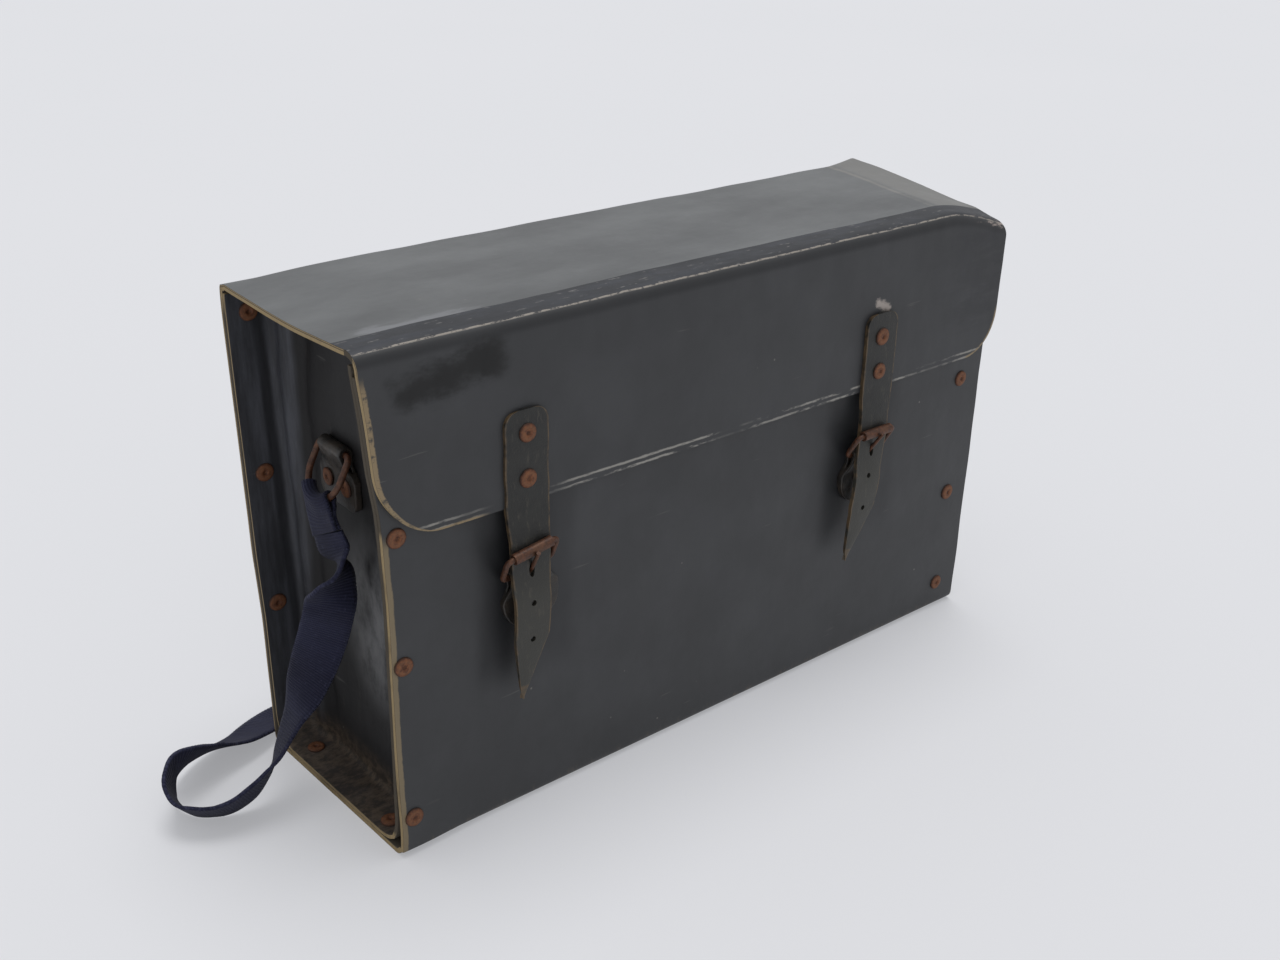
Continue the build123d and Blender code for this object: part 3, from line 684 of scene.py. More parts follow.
def between(value, knots):
    """The height of a broken line at a value."""
    value = min(max(value, knots[0][0]), knots[-1][0])
    for (a, first), (b, second) in zip(knots, knots[1:]):
        if value <= b:
            return first + (second - first) * (value - a) / (b - a)


# The lean of the left end's front and rear edges: height, and how far in
front_lean = (
    (0, 4.5), (60, 5.5), (150, 6.0), (188, 4.7), (200, 4.0), (221, 1.0), (246, -1.0),
    (271, -3.8), (282, -4.4),
)
back_lean = ((0, -0.3), (86, -1.0), (124, -2.6), (170, -3.4), (214, -4.2), (268, -4.8), (282, -4.4))

# The sag of the lid's right end: depth from front to back, and how far down
end_sag = ((-66, 13.5), (-56, 11.5), (-44, 8.5), (-30, 7.5), (0, 3.4), (37, -0.4), (67, -3.0))


def left_lean(x, y, z):
    """How far the worn left end has moved in, or out where it is negative."""
    share = min(max((y - front_face) / (back_face - front_face), 0), 1)
    lean = between(z, front_lean) * (1 - share) + between(z, back_lean) * share
    return lean * ease(-x, 150, 222)


def lid_sag(x, y):
    """How far the lid's right end hangs below its flat, beyond a slanting crease."""
    crease = 180 + 0.2045 * (y + 55)
    share = max(0.0, (x - crease) / (lid_right - crease))
    return between(y, end_sag) * share**1.4


def board_relief(x, y, z, ny, nz):
    """How far the worn board stands off its true face."""
    if nz > 0.5:
        sides = ease(y, lid_near, lid_near + 14) * ease(-y, -57, -40)
        across = math.sin(math.pi * min(max((y + 62) / 128, 0), 1))
        left = ease(-x, 150, 224) ** 2
        return (
            0.7 * bumps(x, y, 95, 1) * (0.3 + 0.7 * sides)
            + 0.2 * bumps(x, y, 28, 2)
            - 3.4 * left * across - 1.5 * left * ease(y, 20, 67)
        )
    if nz < -0.5:
        return 0.0
    rise = ease(z, 2, 30) * ease(-z, -270, -235)
    wave = (0.8 * bumps(x, z, 85, 3) + 0.25 * bumps(x, z, 30, 4)) * rise
    if ny < 0:
        wave *= ease(-z, -186, -165)
        corner = math.exp(-(((x + 214) / 34) ** 2) - ((z - 16) / 26) ** 2)
        return wave + 2.4 * corner
    return wave


def board_sheet(name, section, face_cloth, edges, shape):
    """One length of the board, laid along its section between its left and right edges."""
    points, lay = [], []
    along = 0.0
    for i, (y, z, ny, nz) in enumerate(section):
        if i:
            along += math.hypot(y - section[i - 1][0], z - section[i - 1][1])
        left, right = edges(z, ny, nz)
        for j in range(board_columns):
            x = left + (right - left) * j / (board_columns - 1)
            off, drop = shape(x, y, z, ny, nz)
            points.append((x + left_lean(x, y, z), y + ny * off, z + nz * off - drop))
            lay.append((along, x - (left + half_length)))
    faces = grid_faces(len(section), board_columns)
    piece = thick_sheet(name, points, faces, board, [face_cloth, cut_edge, lining], lay)
    soften_edges(piece, board_wear)
    return piece


def case_edges(z, ny, nz):
    """The left and right edges of the case, and of the longer lid."""
    is_lid = z > 240 and (ny > 0.01 or nz > 0.5)
    spare = (lid_right - half_length) * (ease(z, 268, 275) if is_lid else 0.0)
    return -half_length, half_length + spare


def case_shape(x, y, z, ny, nz):
    """How far the case or the lid stands off its face there, and how far it hangs down."""
    if z > 240 and ny >= 0:
        drop = lid_sag(x, y) * ease(z, 262, 281)
    else:
        drop = max(0.0, lid_sag(x, -62) - 3.0) * ease(z, 200, 270)
    return board_relief(x, y, z, ny, nz), drop


def board_pieces():
    """The wrapper and the lid, joined under the base."""
    front = board_sheet("front_and_base", front_section(), cloth, case_edges, case_shape)
    rear = board_sheet("back_and_lid", rear_section(), cloth, case_edges, case_shape)
    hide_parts("case_shell")
    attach(front, "case")
    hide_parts("case_shell", "lid_fold", "lid_panel")
    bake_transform(rear)


def flap_section():
    """The section of the front fold and the flap."""
    section = straight((lid_seam, case_top), (flap_hinge[0], case_top), 2.0, (0, 1))
    section += turn(flap_hinge, flap_bend, 90, 180, 9)
    arc_top = flap_bottom + flap_corners["left"]
    section += straight((flap_face, flap_hinge[1]), (flap_face, arc_top), 3.0, (-1, 0))
    for i in range(17):
        z = arc_top - flap_corners["left"] * math.sin(math.pi / 2 * i / 16)
        section.append((flap_face, z, -1, 0))
    return section


def corner_cut(z, radius):
    """How far a rounded lower corner has come in at a height."""
    drop = min(max(flap_bottom + radius - z, 0.0), radius)
    return radius - math.sqrt(max(radius**2 - drop**2, 0.0))


def flap_edges(z, ny, nz):
    """The left and right edges of the fold and the flap."""
    left = -half_length + corner_cut(z, flap_corners["left"])
    return left, lid_right - corner_cut(z, flap_corners["right"])


def flap_shape(x, y, z, ny, nz):
    """How far the fold or the flap stands off its face there, and how far it hangs down."""
    if nz > 0.99:
        off = board_relief(x, y, z, 0, 1)
    else:
        low = ease(-z, -268, -250)
        off = low * (0.55 * bumps(x, z, 90, 5) + 0.2 * bumps(x, z, 26, 6) + 0.35)
        off += 0.25 * bumps(x, 0, 12, 7) * (1 - low)
        off += board_relief(x, lid_near, case_top, 0, 1) * nz
    return off, lid_sag(x, y) * ease(z, 222, 276)


def flap_piece():
    """The front fold and the flap."""
    piece = board_sheet("flap_and_fold", flap_section(), flap_cloth, flap_edges, flap_shape)
    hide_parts("flap_fold", "flap_panel")
    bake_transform(piece)


board_pieces()
flap_piece()


def web_relief(y, z, side):
    """How far an end web stands out of its flat, in folds and dents."""
    seed = 11 if side == "left" else 17
    edge = ease(z, gusset_floor, 40) * ease(-z, -gusset_top - 8, -gusset_top + 30)
    folds = 1.1 * bumps(y, z * 0.35, 26, seed) + 0.5 * bumps(y, z, 16, seed + 1)
    ridge = 6.5 * math.exp(-(((y - 53) / 9) ** 2)) * (0.55 + 0.45 * ease(z, 20, 250))
    groove = 1.6 * math.exp(-(((y - 41 - 3 * bumps(z, 0, 60, seed)) / 4) ** 2))
    near = 1.5 * math.exp(-(((y + 56) / 8) ** 2))
    return folds * edge + ridge - groove * edge + near


def web_outline(u, v, corner=6.0):
    """A point of the web's flat from shares across and up, its lower corners rounded."""
    half = gusset_half - gusset_bend
    low = gusset_floor + gusset_bend
    y = -half + 2 * half * u
    z = low + (gusset_top - low) * v
    reach = 2.2 * corner
    side = min(half - abs(y), reach) / reach
    up = min(z - low, reach) / reach
    pull = corner * 0.42 * (1 - side) ** 2 * (1 - up) ** 2
    return y - math.copysign(pull, y), z + pull


def gusset_piece(side):
    """An end gusset: the recessed web, its bends, and the flanges that face outwards."""
    sign = -1 if side == "left" else 1
    across, up = 40, 62
    points, lay, spots = [], [], []
    for i in range(up + 1):
        v = i / up
        for j in range(across + 1):
            y, z = web_outline(j / across, v)
            points.append((sign * (recess_web + web_relief(y, z, side)), y, z))
            spots.append((y, z))
            lay.append((z, y))
    faces = grid_faces(up + 1, across + 1)
    border = [i * (across + 1) for i in range(up, -1, -1)]
    border += list(range(1, across + 1))
    border += [i * (across + 1) + across for i in range(1, up + 1)]
    previous = border
    rows = [(k / 4, 0.0) for k in range(1, 5)] + [(1.0, k / 6) for k in range(1, 7)]
    for bent, out_share in rows:
        current = []
        for n, index in enumerate(border):
            y, z = spots[index]
            before = spots[border[max(n - 1, 0)]]
            after = spots[border[min(n + 1, len(border) - 1)]]
            way = Vector((after[0] - before[0], after[1] - before[1])).normalized()
            out = Vector((way.y, -way.x))
            angle = math.pi / 2 * bent
            reach = gusset_bend * math.sin(angle)
            level = recess_web + web_relief(y, z, side) + gusset_bend * (1 - math.cos(angle))
            if out_share:
                level += (half_length - level) * out_share
                wave = ease(out_share, 0, 0.3) * ease(-out_share, -1, -0.6)
                reach -= abs(0.5 * bumps(level, z + y, 20, 23) * wave)
            y = min(max(y + out.x * reach, -gusset_half), gusset_half)
            z = max(z + out.y * reach, gusset_floor)
            current.append(len(points))
            points.append((sign * level, y, z))
            lay.append((z, y))
        for n in range(len(border) - 1):
            faces.append((previous[n], previous[n + 1], current[n + 1], current[n]))
        previous = current
    faces = facing(faces, points, len(faces) // 4, (sign, 0, 0))
    if side == "left":
        points = [(x + left_lean(x, y, z) * ease(-x, 199, 224), y, z) for x, y, z in points]
    else:
        points = [
            (x, y, z - max(0.0, lid_sag(x, y) - 1.0) * ease(z, 200, 275) * ease(x, 190, 224))
            for x, y, z in points
        ]
    kinds = [end_cloth, cut_edge, lining]
    piece = thick_sheet(f"{side}_end_gusset", points, faces, gusset_board, kinds, lay)
    soften_edges(piece, 0.3)
    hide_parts(f"{side}_gusset")
    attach(piece, "case")


for side in both_sides:
    gusset_piece(side)

# Closing straps: middle, height of the top, lean in degrees, and heel bar height
straps = {"left": (-140.0, 236.0, 2.3, 147.5), "right": (117.0, 233.4, 8.8, 145.5)}
# How far forward each station of the strap's tail stands
tail_reach = (-71.6, -72.4, -75.15, -76.1, -78.5, -78.5, -77.3, -76.1)
# The punched holes below the strap's bend, and the cutters' half width and half height
punched_drops = (54.0, 75.0)
punched_hole = (1.6, 1.6)
prong_hole = (1.7, 4.0)


def strap_line(side):
    """The middle line of a strap in Y and Z, from its riveted top to its tip."""
    _, top, _, heel = straps[side]
    heights = [strap_bend_height, 178.8, heel + 15.16]
    heights += [heel, heel - 17.5, heel - 35, heel - 52.5, 75.0]
    knots = [(-71.5, top), (-71.5, 0.5 * (top + 190)), (-71.5, 191.0)]
    knots += list(zip(tail_reach, heights))
    knots = [Vector((y, z)) for y, z in knots]
    line = []
    for i in range(len(knots) - 1):
        p0, p1, p2, p3 = (knots[min(max(k, 0), len(knots) - 1)] for k in (i - 1, i, i + 1, i + 2))
        steps = max(2, round((p2 - p1).length / 1.6))
        for s in range(steps):
            t = s / steps
            smooth = t * t * (3 - 2 * t)
            bend = (p2 - p0) * 0.5 * t * (1 - t) ** 2 - (p3 - p1) * 0.5 * t * t * (1 - t)
            line.append(p1 * (1 - smooth) + p2 * smooth + bend)
    line.append(knots[-1])
    return line


def strap_half(side, z):
    """Left and right half widths of a strap at an unleaned height."""
    top = straps[side][1]
    from_top = top - z
    corner = 8.0
    half = 13.0
    if from_top < corner:
        half -= corner - math.sqrt(max(corner**2 - (corner - from_top) ** 2, 0.0))
    below = strap_bend_height - z
    half -= ease(below, 3, 21) * 1.0 + ease(below, 21, 74) * 1.5
    left = right = half
    if below > 74:
        share = min((below - 74) / (strap_tail - 74), 1.0)
        left = half + (5.0 - half) * share
        right = half + (-3.0 - half) * share
        tip = ease(share, 0.9, 1.0)
        left -= 0.8 * tip
    return left, right


def strap_piece(side):
    """A closing strap: riveted to the flap, threaded through its buckle, with a pointed end."""
    middle, _, lean, _ = straps[side]
    line = strap_line(side)
    columns = 13
    points, lay = [], []
    along = 0.0
    seed = 31 if side == "left" else 37
    for i, place in enumerate(line):
        if i:
            along += (place - line[i - 1]).length
        before, after = line[max(i - 1, 0)], line[min(i + 1, len(line) - 1)]
        way = (after - before).normalized()
        normal = Vector((way.y, -way.x))
        y, z = place + normal * strap_leather / 2
        left, right = strap_half(side, place.y)
        turn_by = math.radians(lean) * ease(-place.y, -192, -180)
        for j in range(columns):
            share = j / (columns - 1)
            x = -left + (left + right) * share
            x += 0.25 * bumps(along, share, 9, seed)
            crown = 0.35 * (1 - (2 * share - 1) ** 2)
            ripple = 0.25 * bumps(along, x, 14, seed + 1) * ease(-place.y, -180, -165)
            off = crown + ripple
            dz = z + normal.y * off - strap_bend_height
            points.append((
                middle + x * math.cos(turn_by) + dz * math.sin(turn_by),
                y + normal.x * off,
                strap_bend_height - x * math.sin(turn_by) + dz * math.cos(turn_by),
            ))
            edge = max(abs(2 * share - 1), ease(left + right, 14, 4))
            lay.append((along, edge))
    faces = facing(grid_faces(len(line), columns), points, 0, (0, -1, 0))
    piece = thick_sheet(f"{side}_closing_strap", points, faces, strap_leather, [strap_cloth], lay)
    soften_edges(piece, 0.45)
    strap_holes(piece, side)
    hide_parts(f"{side}_strap_anchor", f"{side}_strap_tail")
    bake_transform(piece)


def strap_holes(piece, side):
    """Punches the strap's holes, and the worn one round the prong."""
    middle, _, lean, heel = straps[side]
    angle = math.radians(lean)
    cutter = bmesh.new()
    spots = [(drop, *punched_hole) for drop in punched_drops]
    spots.append((strap_bend_height - heel - 2.5, *prong_hole))
    for drop, wide, high in spots:
        x = middle - drop * math.sin(angle)
        z = strap_bend_height - drop * math.cos(angle)
        made = bmesh.ops.create_cone(
            cutter, cap_ends=True, segments=16, radius1=1.0, radius2=1.0, depth=0.03
        )
        shape = Matrix.Translation((x * MM, -0.076, z * MM))
        shape = shape @ Matrix.Rotation(math.radians(90), 4, "X")
        shape = shape @ Matrix.Diagonal((wide * MM, high * MM, 1.0, 1.0))
        bmesh.ops.transform(cutter, matrix=shape, verts=made["verts"])
    mesh = bpy.data.meshes.new("hole cutter")
    cutter.to_mesh(mesh)
    cutter.free()
    tool = stand("hole_cutter", mesh)
    cut = piece.modifiers.new("holes", "BOOLEAN")
    cut.operation = "DIFFERENCE"
    cut.solver = "EXACT"
    cut.object = tool
    settle(piece)
    bpy.data.objects.remove(tool)
    bpy.data.meshes.remove(mesh)


for side in both_sides:
    strap_piece(side)


def finished_copy(node, name, finish, body, voxel=None, swell=0.0):
    """A CAD node's shape with smooth surfaces, or remade as soft leather."""
    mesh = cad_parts[node].data.copy()
    mesh.name = name
    mesh.materials.clear()
    mesh.materials.append(finish)
    work = bmesh.new()
    work.from_mesh(mesh)
    bmesh.ops.remove_doubles(work, verts=work.verts, dist=1e-5)
    bmesh.ops.recalc_face_normals(work, faces=work.faces)
    for face in work.faces:
        face.material_index = 0
        face.smooth = True
    work.to_mesh(mesh)
    work.free()
    piece = stand(name, mesh)
    if voxel:
        remesh = piece.modifiers.new("even skin", "REMESH")
        remesh.mode = "VOXEL"
        remesh.voxel_size = voxel * MM
        remesh.use_smooth_shade = True
        relax = piece.modifiers.new("soften", "SMOOTH")
        relax.factor = 0.5
        relax.iterations = 3
    else:
        sharp = piece.modifiers.new("sharp ends", "EDGE_SPLIT")
        sharp.split_angle = math.radians(45)
    settle(piece)
    mesh = piece.data
    normals = [v.normal.copy() for v in mesh.vertices]
    for vertex, normal in zip(mesh.vertices, normals):
        spot = vertex.co / MM
        vertex.co += normal * swell * MM * noise.noise(spot / 7.0)
    mesh.update()
    if not mesh.materials:
        mesh.materials.append(finish)
    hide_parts(node)
    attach(piece, body)
    return piece


for side in both_sides:
    for node, name, swell in (("chape", "buckle_tab", 0.35), ("ring_tab", "folded_ring_tab", 0.4)):
        finished_copy(
            f"{side}_{node}", f"{side}_{name}", tab_cloth, "case", tab_grain, swell
        )
    for node, name, body, swell in (
        ("ring", "d_ring", "ring", 0.12),
        ("buckle_frame", "buckle_wire", "buckle", 0.08),
        ("prong", "buckle_prong", "prong", 0.05),
        ("roller", "buckle_roller", "roller", 0.0),
    ):
        finished_copy(
            f"{side}_{node}", f"{side}_{name}", wire_metal, f"{side}_{body}", swell=swell
        )

# Rivets: foot of each head and the way it faces
front_rivets = [(-212, z) for z in (24.0, 114.7, 186.0)] + [(204.5, z) for z in (20.0, 89.0, 170.0)]
back_rivets = [(s * 217, z) for s in (-1, 1) for z in (94.0, 173.9, 264.0)]
base_rivets = [(s * 212, y) for s in (-1, 1) for y in (-43.0, 40.0)]
strap_rivets = [(-140.0, 223.6), (-140.0, 199.1), (116.5, 218.7), (116.5, 197.0)]
chape_rivets = {"left": (-140.04, 147.5, 9.0), "right": (111.40, 145.5, 0.0)}


def case_rivet_feet():
    """Rivets that ride on the case."""
    feet = []
    for x, z in front_rivets:
        relief = board_relief(x, front_face, z, -1, 0)
        feet += [((x, front_face - relief, z), (0, -1, 0)), ((x, -gusset_half, z), (0, 1, 0))]
    for x, z in back_rivets:
        relief = board_relief(x, back_face, z, 1, 0)
        feet += [((x, back_face + relief, z), (0, 1, 0)), ((x, gusset_half, z), (0, -1, 0))]
    feet += [((x, y, gusset_floor), (0, 0, 1)) for x, y in base_rivets]
    for side in both_sides:
        x, z, roll = chape_rivets[side]
        angle = math.radians(roll)
        feet.append(((x - 17 * math.sin(angle), -71.0, z - 17 * math.cos(angle)), (0, -1, 0)))
        bar = ring_bar[side]
        sign = -1 if side == "left" else 1
        for step in (-9, 9):
            feet.append(((bar[0] - sign * 0.05, bar[1] + step, bar[2] - 19), (sign, 0, 0)))
    return feet


def rivet_tree():
    """Nodes that set a domed, dimpled rivet head on each foot."""
    tree = bpy.data.node_groups.new("rivet heads", "GeometryNodeTree")
    face = tree.interface
    face.new_socket("Geometry", in_out="OUTPUT", socket_type="NodeSocketGeometry")
    face.new_socket("Geometry", in_out="INPUT", socket_type="NodeSocketGeometry")
    for name in ("Head Radius", "Head Rise", "Dimple Depth", "Size Spread"):
        face.new_socket(name, in_out="INPUT", socket_type="NodeSocketFloat")
    face.new_socket("Seed", in_out="INPUT", socket_type="NodeSocketInt")
    face.new_socket("Finish", in_out="INPUT", socket_type="NodeSocketMaterial")
    entry = tree.nodes.new("NodeGroupInput")
    leave = tree.nodes.new("NodeGroupOutput")

    def add(kind, settings=None, sockets=None):
        made = tree.nodes.new(kind)
        for key, value in (settings or {}).items():
            setattr(made, key, value)
        for key, value in (sockets or {}).items():
            if isinstance(value, bpy.types.NodeSocket):
                tree.links.new(value, made.inputs[key])
            else:
                made.inputs[key].default_value = value
        return made

    def maths(operation, a, b):
        return add("ShaderNodeMath", {"operation": operation}, {0: a, 1: b}).outputs[0]

    radius = entry.outputs["Head Radius"]
    rise = entry.outputs["Head Rise"]
    sockets = {"Vertices": 22, "Radius": radius}
    circle = add("GeometryNodeMeshCircle", {"fill_type": "NGON"}, sockets)
    under = add("GeometryNodeFlipFaces", {}, {0: circle.outputs[0]})
    shape, top = circle.outputs[0], None
    steps = [
        (0.30, 1.0), (0.26, 0.965), (0.22, 0.92), (0.12, 0.84), (0.10, 0.62), (0.0, 0.62)
    ]
    for lift, narrow in steps:
        height = maths("MULTIPLY", rise, lift)
        sockets = {"Mesh": shape, "Offset Scale": height, "Individual": False}
        if top is not None:
            sockets["Selection"] = top
        made = add("GeometryNodeExtrudeMesh", {"mode": "FACES"}, sockets)
        shape, top = made.outputs["Mesh"], made.outputs["Top"]
        scaled = add(
            "GeometryNodeScaleElements", {}, {"Geometry": shape, "Selection": top, "Scale": narrow}
        )
        shape = scaled.outputs[0]
    made = add("GeometryNodeExtrudeMesh", {"mode": "FACES"}, {
        "Mesh": shape, "Selection": top, "Individual": False,
        "Offset Scale": maths("MULTIPLY", entry.outputs["Dimple Depth"], -1.0),
    })
    shape = add("GeometryNodeScaleElements", {}, {
        "Geometry": made.outputs["Mesh"], "Selection": made.outputs["Top"], "Scale": 0.7,
    }).outputs[0]
    joined = add("GeometryNodeJoinGeometry")
    tree.links.new(shape, joined.inputs[0])
    tree.links.new(under.outputs[0], joined.inputs[0])
    merged = add("GeometryNodeMergeByDistance", {}, {0: joined.outputs[0], "Distance": 1e-5})
    spot = add("GeometryNodeInputPosition").outputs[0]
    sockets = {0: spot, 1: (1, 1, 0)}
    flat = add("ShaderNodeVectorMath", {"operation": "MULTIPLY"}, sockets).outputs[0]
    reach = add("ShaderNodeVectorMath", {"operation": "LENGTH"}, {0: flat}).outputs["Value"]
    share = maths("DIVIDE", reach, radius)
    stored = add("GeometryNodeStoreNamedAttribute", {"data_type": "FLOAT", "domain": "POINT"}, {
        "Geometry": merged.outputs[0], "Name": "from_middle", "Value": share,
    })
    settings = {"data_type": "FLOAT_VECTOR"}
    outward = add("GeometryNodeInputNamedAttribute", settings, {"Name": "outward"}).outputs[0]
    turned = add("FunctionNodeAlignRotationToVector", {"axis": "Z"}, {"Vector": outward})
    spread = add("FunctionNodeRandomValue", {"data_type": "FLOAT"}, {
        "Min": maths("SUBTRACT", 1.0, entry.outputs["Size Spread"]),
        "Max": maths("ADD", 1.0, entry.outputs["Size Spread"]), "Seed": entry.outputs["Seed"],
    })
    heads = add("GeometryNodeInstanceOnPoints", {}, {
        "Points": entry.outputs["Geometry"], "Instance": stored.outputs[0],
        "Rotation": turned.outputs[0], "Scale": spread.outputs["Value"],
    })
    real = add("GeometryNodeRealizeInstances", {}, {0: heads.outputs[0]})
    coated = add("GeometryNodeSetMaterial", {}, {
        "Geometry": real.outputs[0], "Material": entry.outputs["Finish"],
    })
    tree.links.new(coated.outputs[0], leave.inputs[0])
    return tree


heads_tree = rivet_tree()


def rivet_piece(name, feet, body, nodes, seed):
    """All rivet heads of one body."""
    mesh = bpy.data.meshes.new(name)
    mesh.from_pydata([Vector(place) * MM for place, way in feet], [], [])
    outward = mesh.attributes.new("outward", "FLOAT_VECTOR", "POINT")
    outward.data.foreach_set("vector", [float(c) for place, way in feet for c in way])
    piece = stand(name, mesh)
    heads = piece.modifiers.new("heads", "NODES")
    heads.node_group = heads_tree
    values = {
        "Head Radius": rivet_radius * MM, "Head Rise": rivet_rise * MM,
        "Dimple Depth": dimple_depth * MM, "Size Spread": rivet_spread, "Seed": seed,
        "Finish": rivet_metal,
    }
    for item in heads_tree.interface.items_tree:
        if item.in_out == "INPUT" and item.name in values:
            heads[item.identifier] = values[item.name]
    settle(piece)
    mesh = piece.data
    mesh.polygons.foreach_set("use_smooth", [True] * len(mesh.polygons))
    for vertex in mesh.vertices:
        spot = vertex.co / MM / 4.0
        shift = Vector([noise.noise(spot + Vector((0, 0, 37.0 * k))) for k in range(3)])
        vertex.co += shift * rivet_wear * MM
    mesh.update()
    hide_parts(*nodes)
    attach(piece, body)


rivet_piece(
    "case_rivet_heads", case_rivet_feet(), "case",
    ("front_rivets", "back_rivets", "base_rivets", "chape_rivets", "ring_tab_rivets"), 3,
)
rivet_piece(
    "strap_rivet_heads", [((x, -73.0, z), (0, -1, 0)) for x, z in strap_rivets], "flap",
    ("strap_rivets",), 8,
)

# How far the sewn end leans to the front, and how far its rear corner hangs lower
sewn_lean = {"left": (9.0, 7.0), "right": (0.0, 0.0)}

# The webbing's course in millimetres: each point of its line, and the way its width faces there
left_course = [
    ((-215.54, -3.0, 163.5), (-0.1, 0.9, -0.42)),
    ((-214.5, -7.0, 155.0), (-0.2, 0.92, -0.34)),
    ((-213.5, -11.5, 146.0), (0.58, 0.69, -0.42)),
    ((-216.5, -8.5, 136.0), (0.9, 0.23, -0.35)),
    ((-218.5, -5.0, 121.0), (0.77, -0.64, 0.0)),
    ((-219.0, 4.0, 100.0), (0.7, -0.7, -0.07)),
    ((-225.0, 16.0, 68.0), (0.4, -0.89, 0.2)),
    ((-236.0, 16.0, 48.0), (0.02, -0.88, 0.48)),
    ((-246.0, 12.0, 35.0), (-0.2, -0.86, 0.48)),
    ((-255.0, 10.0, 25.0), (-0.38, -0.68, 0.62)),
    ((-266.0, 9.0, 17.0), (-0.42, -0.58, 0.7)),
    ((-279.0, 11.0, 11.5), (-0.33, -0.6, 0.74)),
    ((-292.0, 18.0, 10.0), (-0.22, -0.68, 0.7)),
    ((-299.0, 27.0, 12.0), (-0.34, -0.72, 0.6)),
    ((-300.0, 37.0, 17.0), (-0.4, -0.62, 0.66)),
    ((-294.0, 46.0, 21.0), (-0.42, -0.52, 0.74)),
    ((-283.0, 55.0, 19.0), (-0.2, -0.65, 0.74)),
    ((-270.0, 63.0, 14.0), (0.0, -0.75, 0.66)),
    ((-256.0, 68.5, 9.5), (0.15, -0.87, 0.46)),
    ((-243.0, 72.0, 6.5), (0.2, -0.91, 0.36)),
    ((-229.0, 79.0, 4.5), (0.25, -0.93, 0.25)),
    ((-214.0, 84.0, 2.4), (0.2, -0.97, 0.1)),
    ((-190.0, 86.0, 1.2), (0.0, -1.0, 0.0)),
    ((0.0, 86.0, 1.1), (0.0, -1.0, 0.0)),
]
right_course = [
    ((215.54, 6.0, 163.5), (0.0, 1.0, 0.0)),
    ((213.0, 8.0, 120.0), (0.1, 0.99, 0.0)),
    ((224.0, 26.0, 80.0), (0.05, 0.99, 0.1)),
    ((237.0, 44.0, 48.0), (-0.1, 0.95, 0.3)),
    ((244.0, 60.0, 28.0), (-0.3, 0.8, 0.5)),
    ((241.0, 74.0, 14.0), (-0.1, 0.9, 0.35)),
    ((225.0, 83.0, 5.5), (0.1, 0.97, 0.15)),
    ((195.0, 86.0, 1.6), (0.05, 1.0, 0.0)),
    ((150.0, 86.0, 1.1), (0.0, 1.0, 0.0)),
    ((0.0, 86.0, 1.1), (0.0, 1.0, 0.0)),
]


def webbing_line(name, course):
    """The smooth line that the webbing follows, read from a curve through its control points."""
    curve = bpy.data.curves.new(name, "CURVE")
    curve.dimensions = "3D"
    curve.resolution_u = 24
    spline = curve.splines.new("NURBS")
    spline.points.add(len(course) - 1)
    for point, (place, _) in zip(spline.points, course):
        point.co = (*(Vector(place) * MM), 1.0)
    spline.order_u = 3
    spline.use_endpoint_u = True
    line = stand(name, curve)
    mesh = plain_mesh(line)
    places = [v.co.copy() / MM for v in mesh.vertices]
    bpy.data.meshes.remove(mesh)
    bpy.data.objects.remove(line)
    bpy.data.curves.remove(curve)
    if (places[0] - Vector(course[0][0])).length > (places[-1] - Vector(course[0][0])).length:
        places.reverse()
    return places


def even_line(places, step):
    """The same line with even spacing."""
    lengths = [0.0]
    for a, b in zip(places, places[1:]):
        lengths.append(lengths[-1] + (b - a).length)
    count = round(lengths[-1] / step)
    even, k = [], 0
    for i in range(count + 1):
        target = lengths[-1] * i / count
        while k < len(lengths) - 2 and lengths[k + 1] < target:
            k += 1
        span = max(lengths[k + 1] - lengths[k], 1e-9)
        even.append(places[k].lerp(places[k + 1], (target - lengths[k]) / span))
    return even, lengths[-1]


def width_ways(line, course):
    """The way the webbing's width faces at each place on its line."""
    stations = []
    start = 0
    for place, width in course:
        spot = Vector(place)
        nearest = min(range(start, len(line)), key=lambda k: (line[k] - spot).length)
        stations.append((nearest, Vector(width)))
        start = nearest
    ways = []
    for i in range(len(line)):
        k = 0
        while k < len(stations) - 2 and stations[k + 1][0] <= i:
            k += 1
        (a, first), (b, second) = stations[k], stations[k + 1]
        share = ease(i, a, b) if b > a else 1.0
        share = 0.5 * share + 0.5 * min(max((i - a) / max(b - a, 1), 0), 1)
        ways.append(first.lerp(second, share))
    for _ in range(12):
        ways = [
            (ways[max(i - 1, 0)] + ways[i] * 2 + ways[min(i + 1, len(ways) - 1)]) / 4
            for i in range(len(ways))
        ]
    return ways


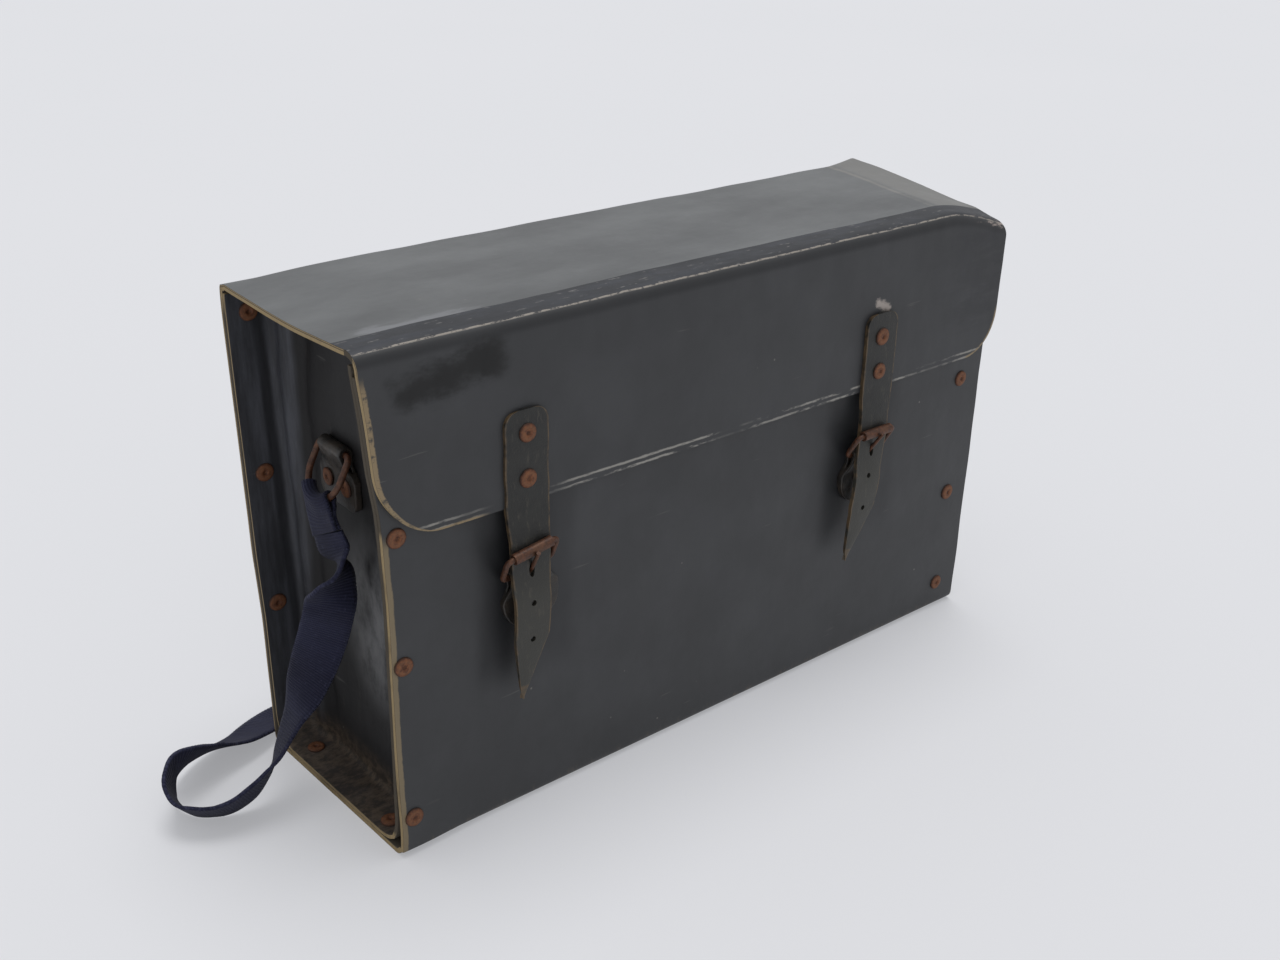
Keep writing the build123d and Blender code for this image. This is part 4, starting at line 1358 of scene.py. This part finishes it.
def webbing_piece(side, course):
    """A free run of webbing with woven, slightly jagged edges."""
    rough = webbing_line(f"{side} webbing line", course)
    line, length = even_line(rough, webbing_step)
    ways = width_ways(line, course)
    columns = 11
    half = webbing_width / 2
    points, lay, middle = [], [], []
    for i, place in enumerate(line):
        ahead = (line[min(i + 1, len(line) - 1)] - line[max(i - 1, 0)]).normalized()
        across = (ways[i] - ahead * ways[i].dot(ahead)).normalized()
        normal = ahead.cross(across)
        along = length * i / (len(line) - 1)
        lift = max(0.0, abs(across.z) * half + webbing_thick - place.z)
        place = place + Vector((0, 0, lift * ease(along, 120, 160)))
        middle.append(place)
        jag = 0.28 if i % 2 else -0.12
        for j in range(columns):
            share = 2 * j / (columns - 1) - 1
            reach = half * share
            if j in (0, columns - 1):
                reach += math.copysign(jag + 0.2 * bumps(along, j, 3, 41), share)
            cup = 0.7 * share**2 * (1 - ease(along, 10, 50))
            off = cup + 0.3 * bumps(along, reach, 22, 43) * ease(along, 5, 30) * ease(place.z, 2, 6)
            points.append(tuple(place + across * reach + normal * (webbing_thick / 2 + off)))
            lay.append((along, reach))
    faces = grid_faces(len(line), columns)
    name = f"{side}_shoulder_webbing"
    piece = thick_sheet(name, points, faces, webbing_thick, [webbing_cloth], lay)
    for vertex in piece.data.vertices:
        vertex.co.z = max(vertex.co.z, 0.1 * MM)
    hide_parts(f"{side}_webbing_run")
    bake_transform(piece)
    path = [tuple(p * MM) for p in middle[:-1:6]] + [tuple(middle[-1] * MM)]
    length * MM


def sewn_loop_piece(side):
    """The end of the webbing, folded round the ring and sewn to itself."""
    sign = -1 if side == "left" else 1
    bar = Vector(ring_bar[side])
    sine, cosine = math.sin(ring_swing), math.cos(ring_swing)
    middle = Vector((0, -ring_bow_middle * sine, -ring_bow_middle * cosine))
    outward = Vector((0, -cosine, sine))
    reach = ring_bow_middle + ring_bow
    face = ring_wire + 0.3 + webbing_thick
    rows = [(-125.0, k / 12) for k in range(12, 0, -1)]
    rows += [(-125.0 + 250.0 * i / 20, 0.0) for i in range(21)]
    rows += [(125.0, k / 12) for k in range(1, 13)]
    columns = 15
    points, lay = [], []
    along, last = 0.0, None
    for degrees, fallen in rows:
        row = []
        for j in range(columns):
            share = 2 * j / (columns - 1) - 1
            theta = math.radians(48) * share
            out = Vector((math.sin(theta), math.cos(theta) * -sine, math.cos(theta) * -cosine))
            angle = math.radians(degrees)
            spot = middle + out * ring_bow
            spot += (outward * math.sin(angle) - out * math.cos(angle)) * face
            blend = ease(fallen, 0, 0.55)
            flat = -reach * sine - math.copysign(webbing_thick + 0.05, degrees)
            flat -= 0.25 * bumps(share * 13, fallen * 16, 9, 51)
            lean, slant = sewn_lean[side]
            row.append(Vector((
                spot.x + (webbing_width / 2 * share - spot.x) * blend + lean * fallen,
                spot.y + (flat - spot.y) * blend,
                spot.z + (-reach * cosine - sewn_length - spot.z) * fallen + slant * share * fallen,
            )))
        if last is not None:
            along += (row[columns // 2] - last).length
        last = row[columns // 2]
        for j, spot in enumerate(row):
            points.append(tuple(Vector((sign * -spot.y, sign * spot.x, spot.z)) + bar))
            lay.append((along, webbing_width / 2 * (2 * j / (columns - 1) - 1)))
    faces = facing(grid_faces(len(rows), columns), points, -1, (sign, 0, 0))
    piece = thick_sheet(f"{side}_sewn_loop", points, faces, webbing_thick, [webbing_cloth], lay)
    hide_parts(f"{side}_webbing_loop")
    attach(piece, f"{side}_ring")


webbing_piece("left", left_course)
webbing_piece("right", right_course)
for side in both_sides:
    sewn_loop_piece(side)


ray_kinds = ("Is Camera Ray", "Is Glossy Ray", "Is Transmission Ray")
floor_half = 9000.0
glow_share = 0.4
sky_strength = 0.58
sun_strength = 1.5
sun_spread = math.radians(34)


def floor_and_light():
    """A pale floor, an even sky and one broad soft light from above and behind."""
    finish = Finish("pale floor", Roughness=1.0, Specular_IOR_Level=0.0)
    at = finish.place()
    cloud = finish.grain(at, 900.0, 2.0, 0.5)
    finish.ground(cloud, (220, 221, 224), (224, 224, 227))
    finish.use()
    seen = [finish.node("ShaderNodeLightPath", {}, {}, out) for out in ray_kinds]
    glow = finish.node("ShaderNodeEmission", {}, {"Color": tone(224, 225, 229), "Strength": 1.0})
    share = (seen[0] + seen[1] + seen[2]).least(1.0) * glow_share
    lit = Amount(finish, finish.surface.outputs[0])
    both = finish.node("ShaderNodeMixShader", {}, {0: share, 1: lit, 2: glow})
    leave = finish.tree.nodes["Material Output"]
    finish.tree.links.new(both.socket, leave.inputs["Surface"])
    corners = [(x * floor_half, y * floor_half, 0) for x, y in ((-1, -1), (1, -1), (1, 1), (-1, 1))]
    floor = mesh_object("floor", corners, [(0, 1, 2, 3)], [finish.material])
    world = bpy.data.worlds.new("sky")
    world.use_nodes = True
    world.node_tree.nodes["Background"].inputs["Color"].default_value = (0.97, 0.98, 1.0, 1.0)
    world.node_tree.nodes["Background"].inputs["Strength"].default_value = sky_strength
    bpy.context.scene.world = world
    sun = bpy.data.lights.new("window", "SUN")
    sun.energy = sun_strength
    sun.angle = sun_spread
    lamp = stand("window", sun)
    way = Vector((0.14, 0.08, 1.0)).normalized()
    lamp.rotation_euler = way.to_track_quat("Z", "Y").to_euler()


floor_and_light()
bpy.context.scene.view_settings.view_transform = "Standard"
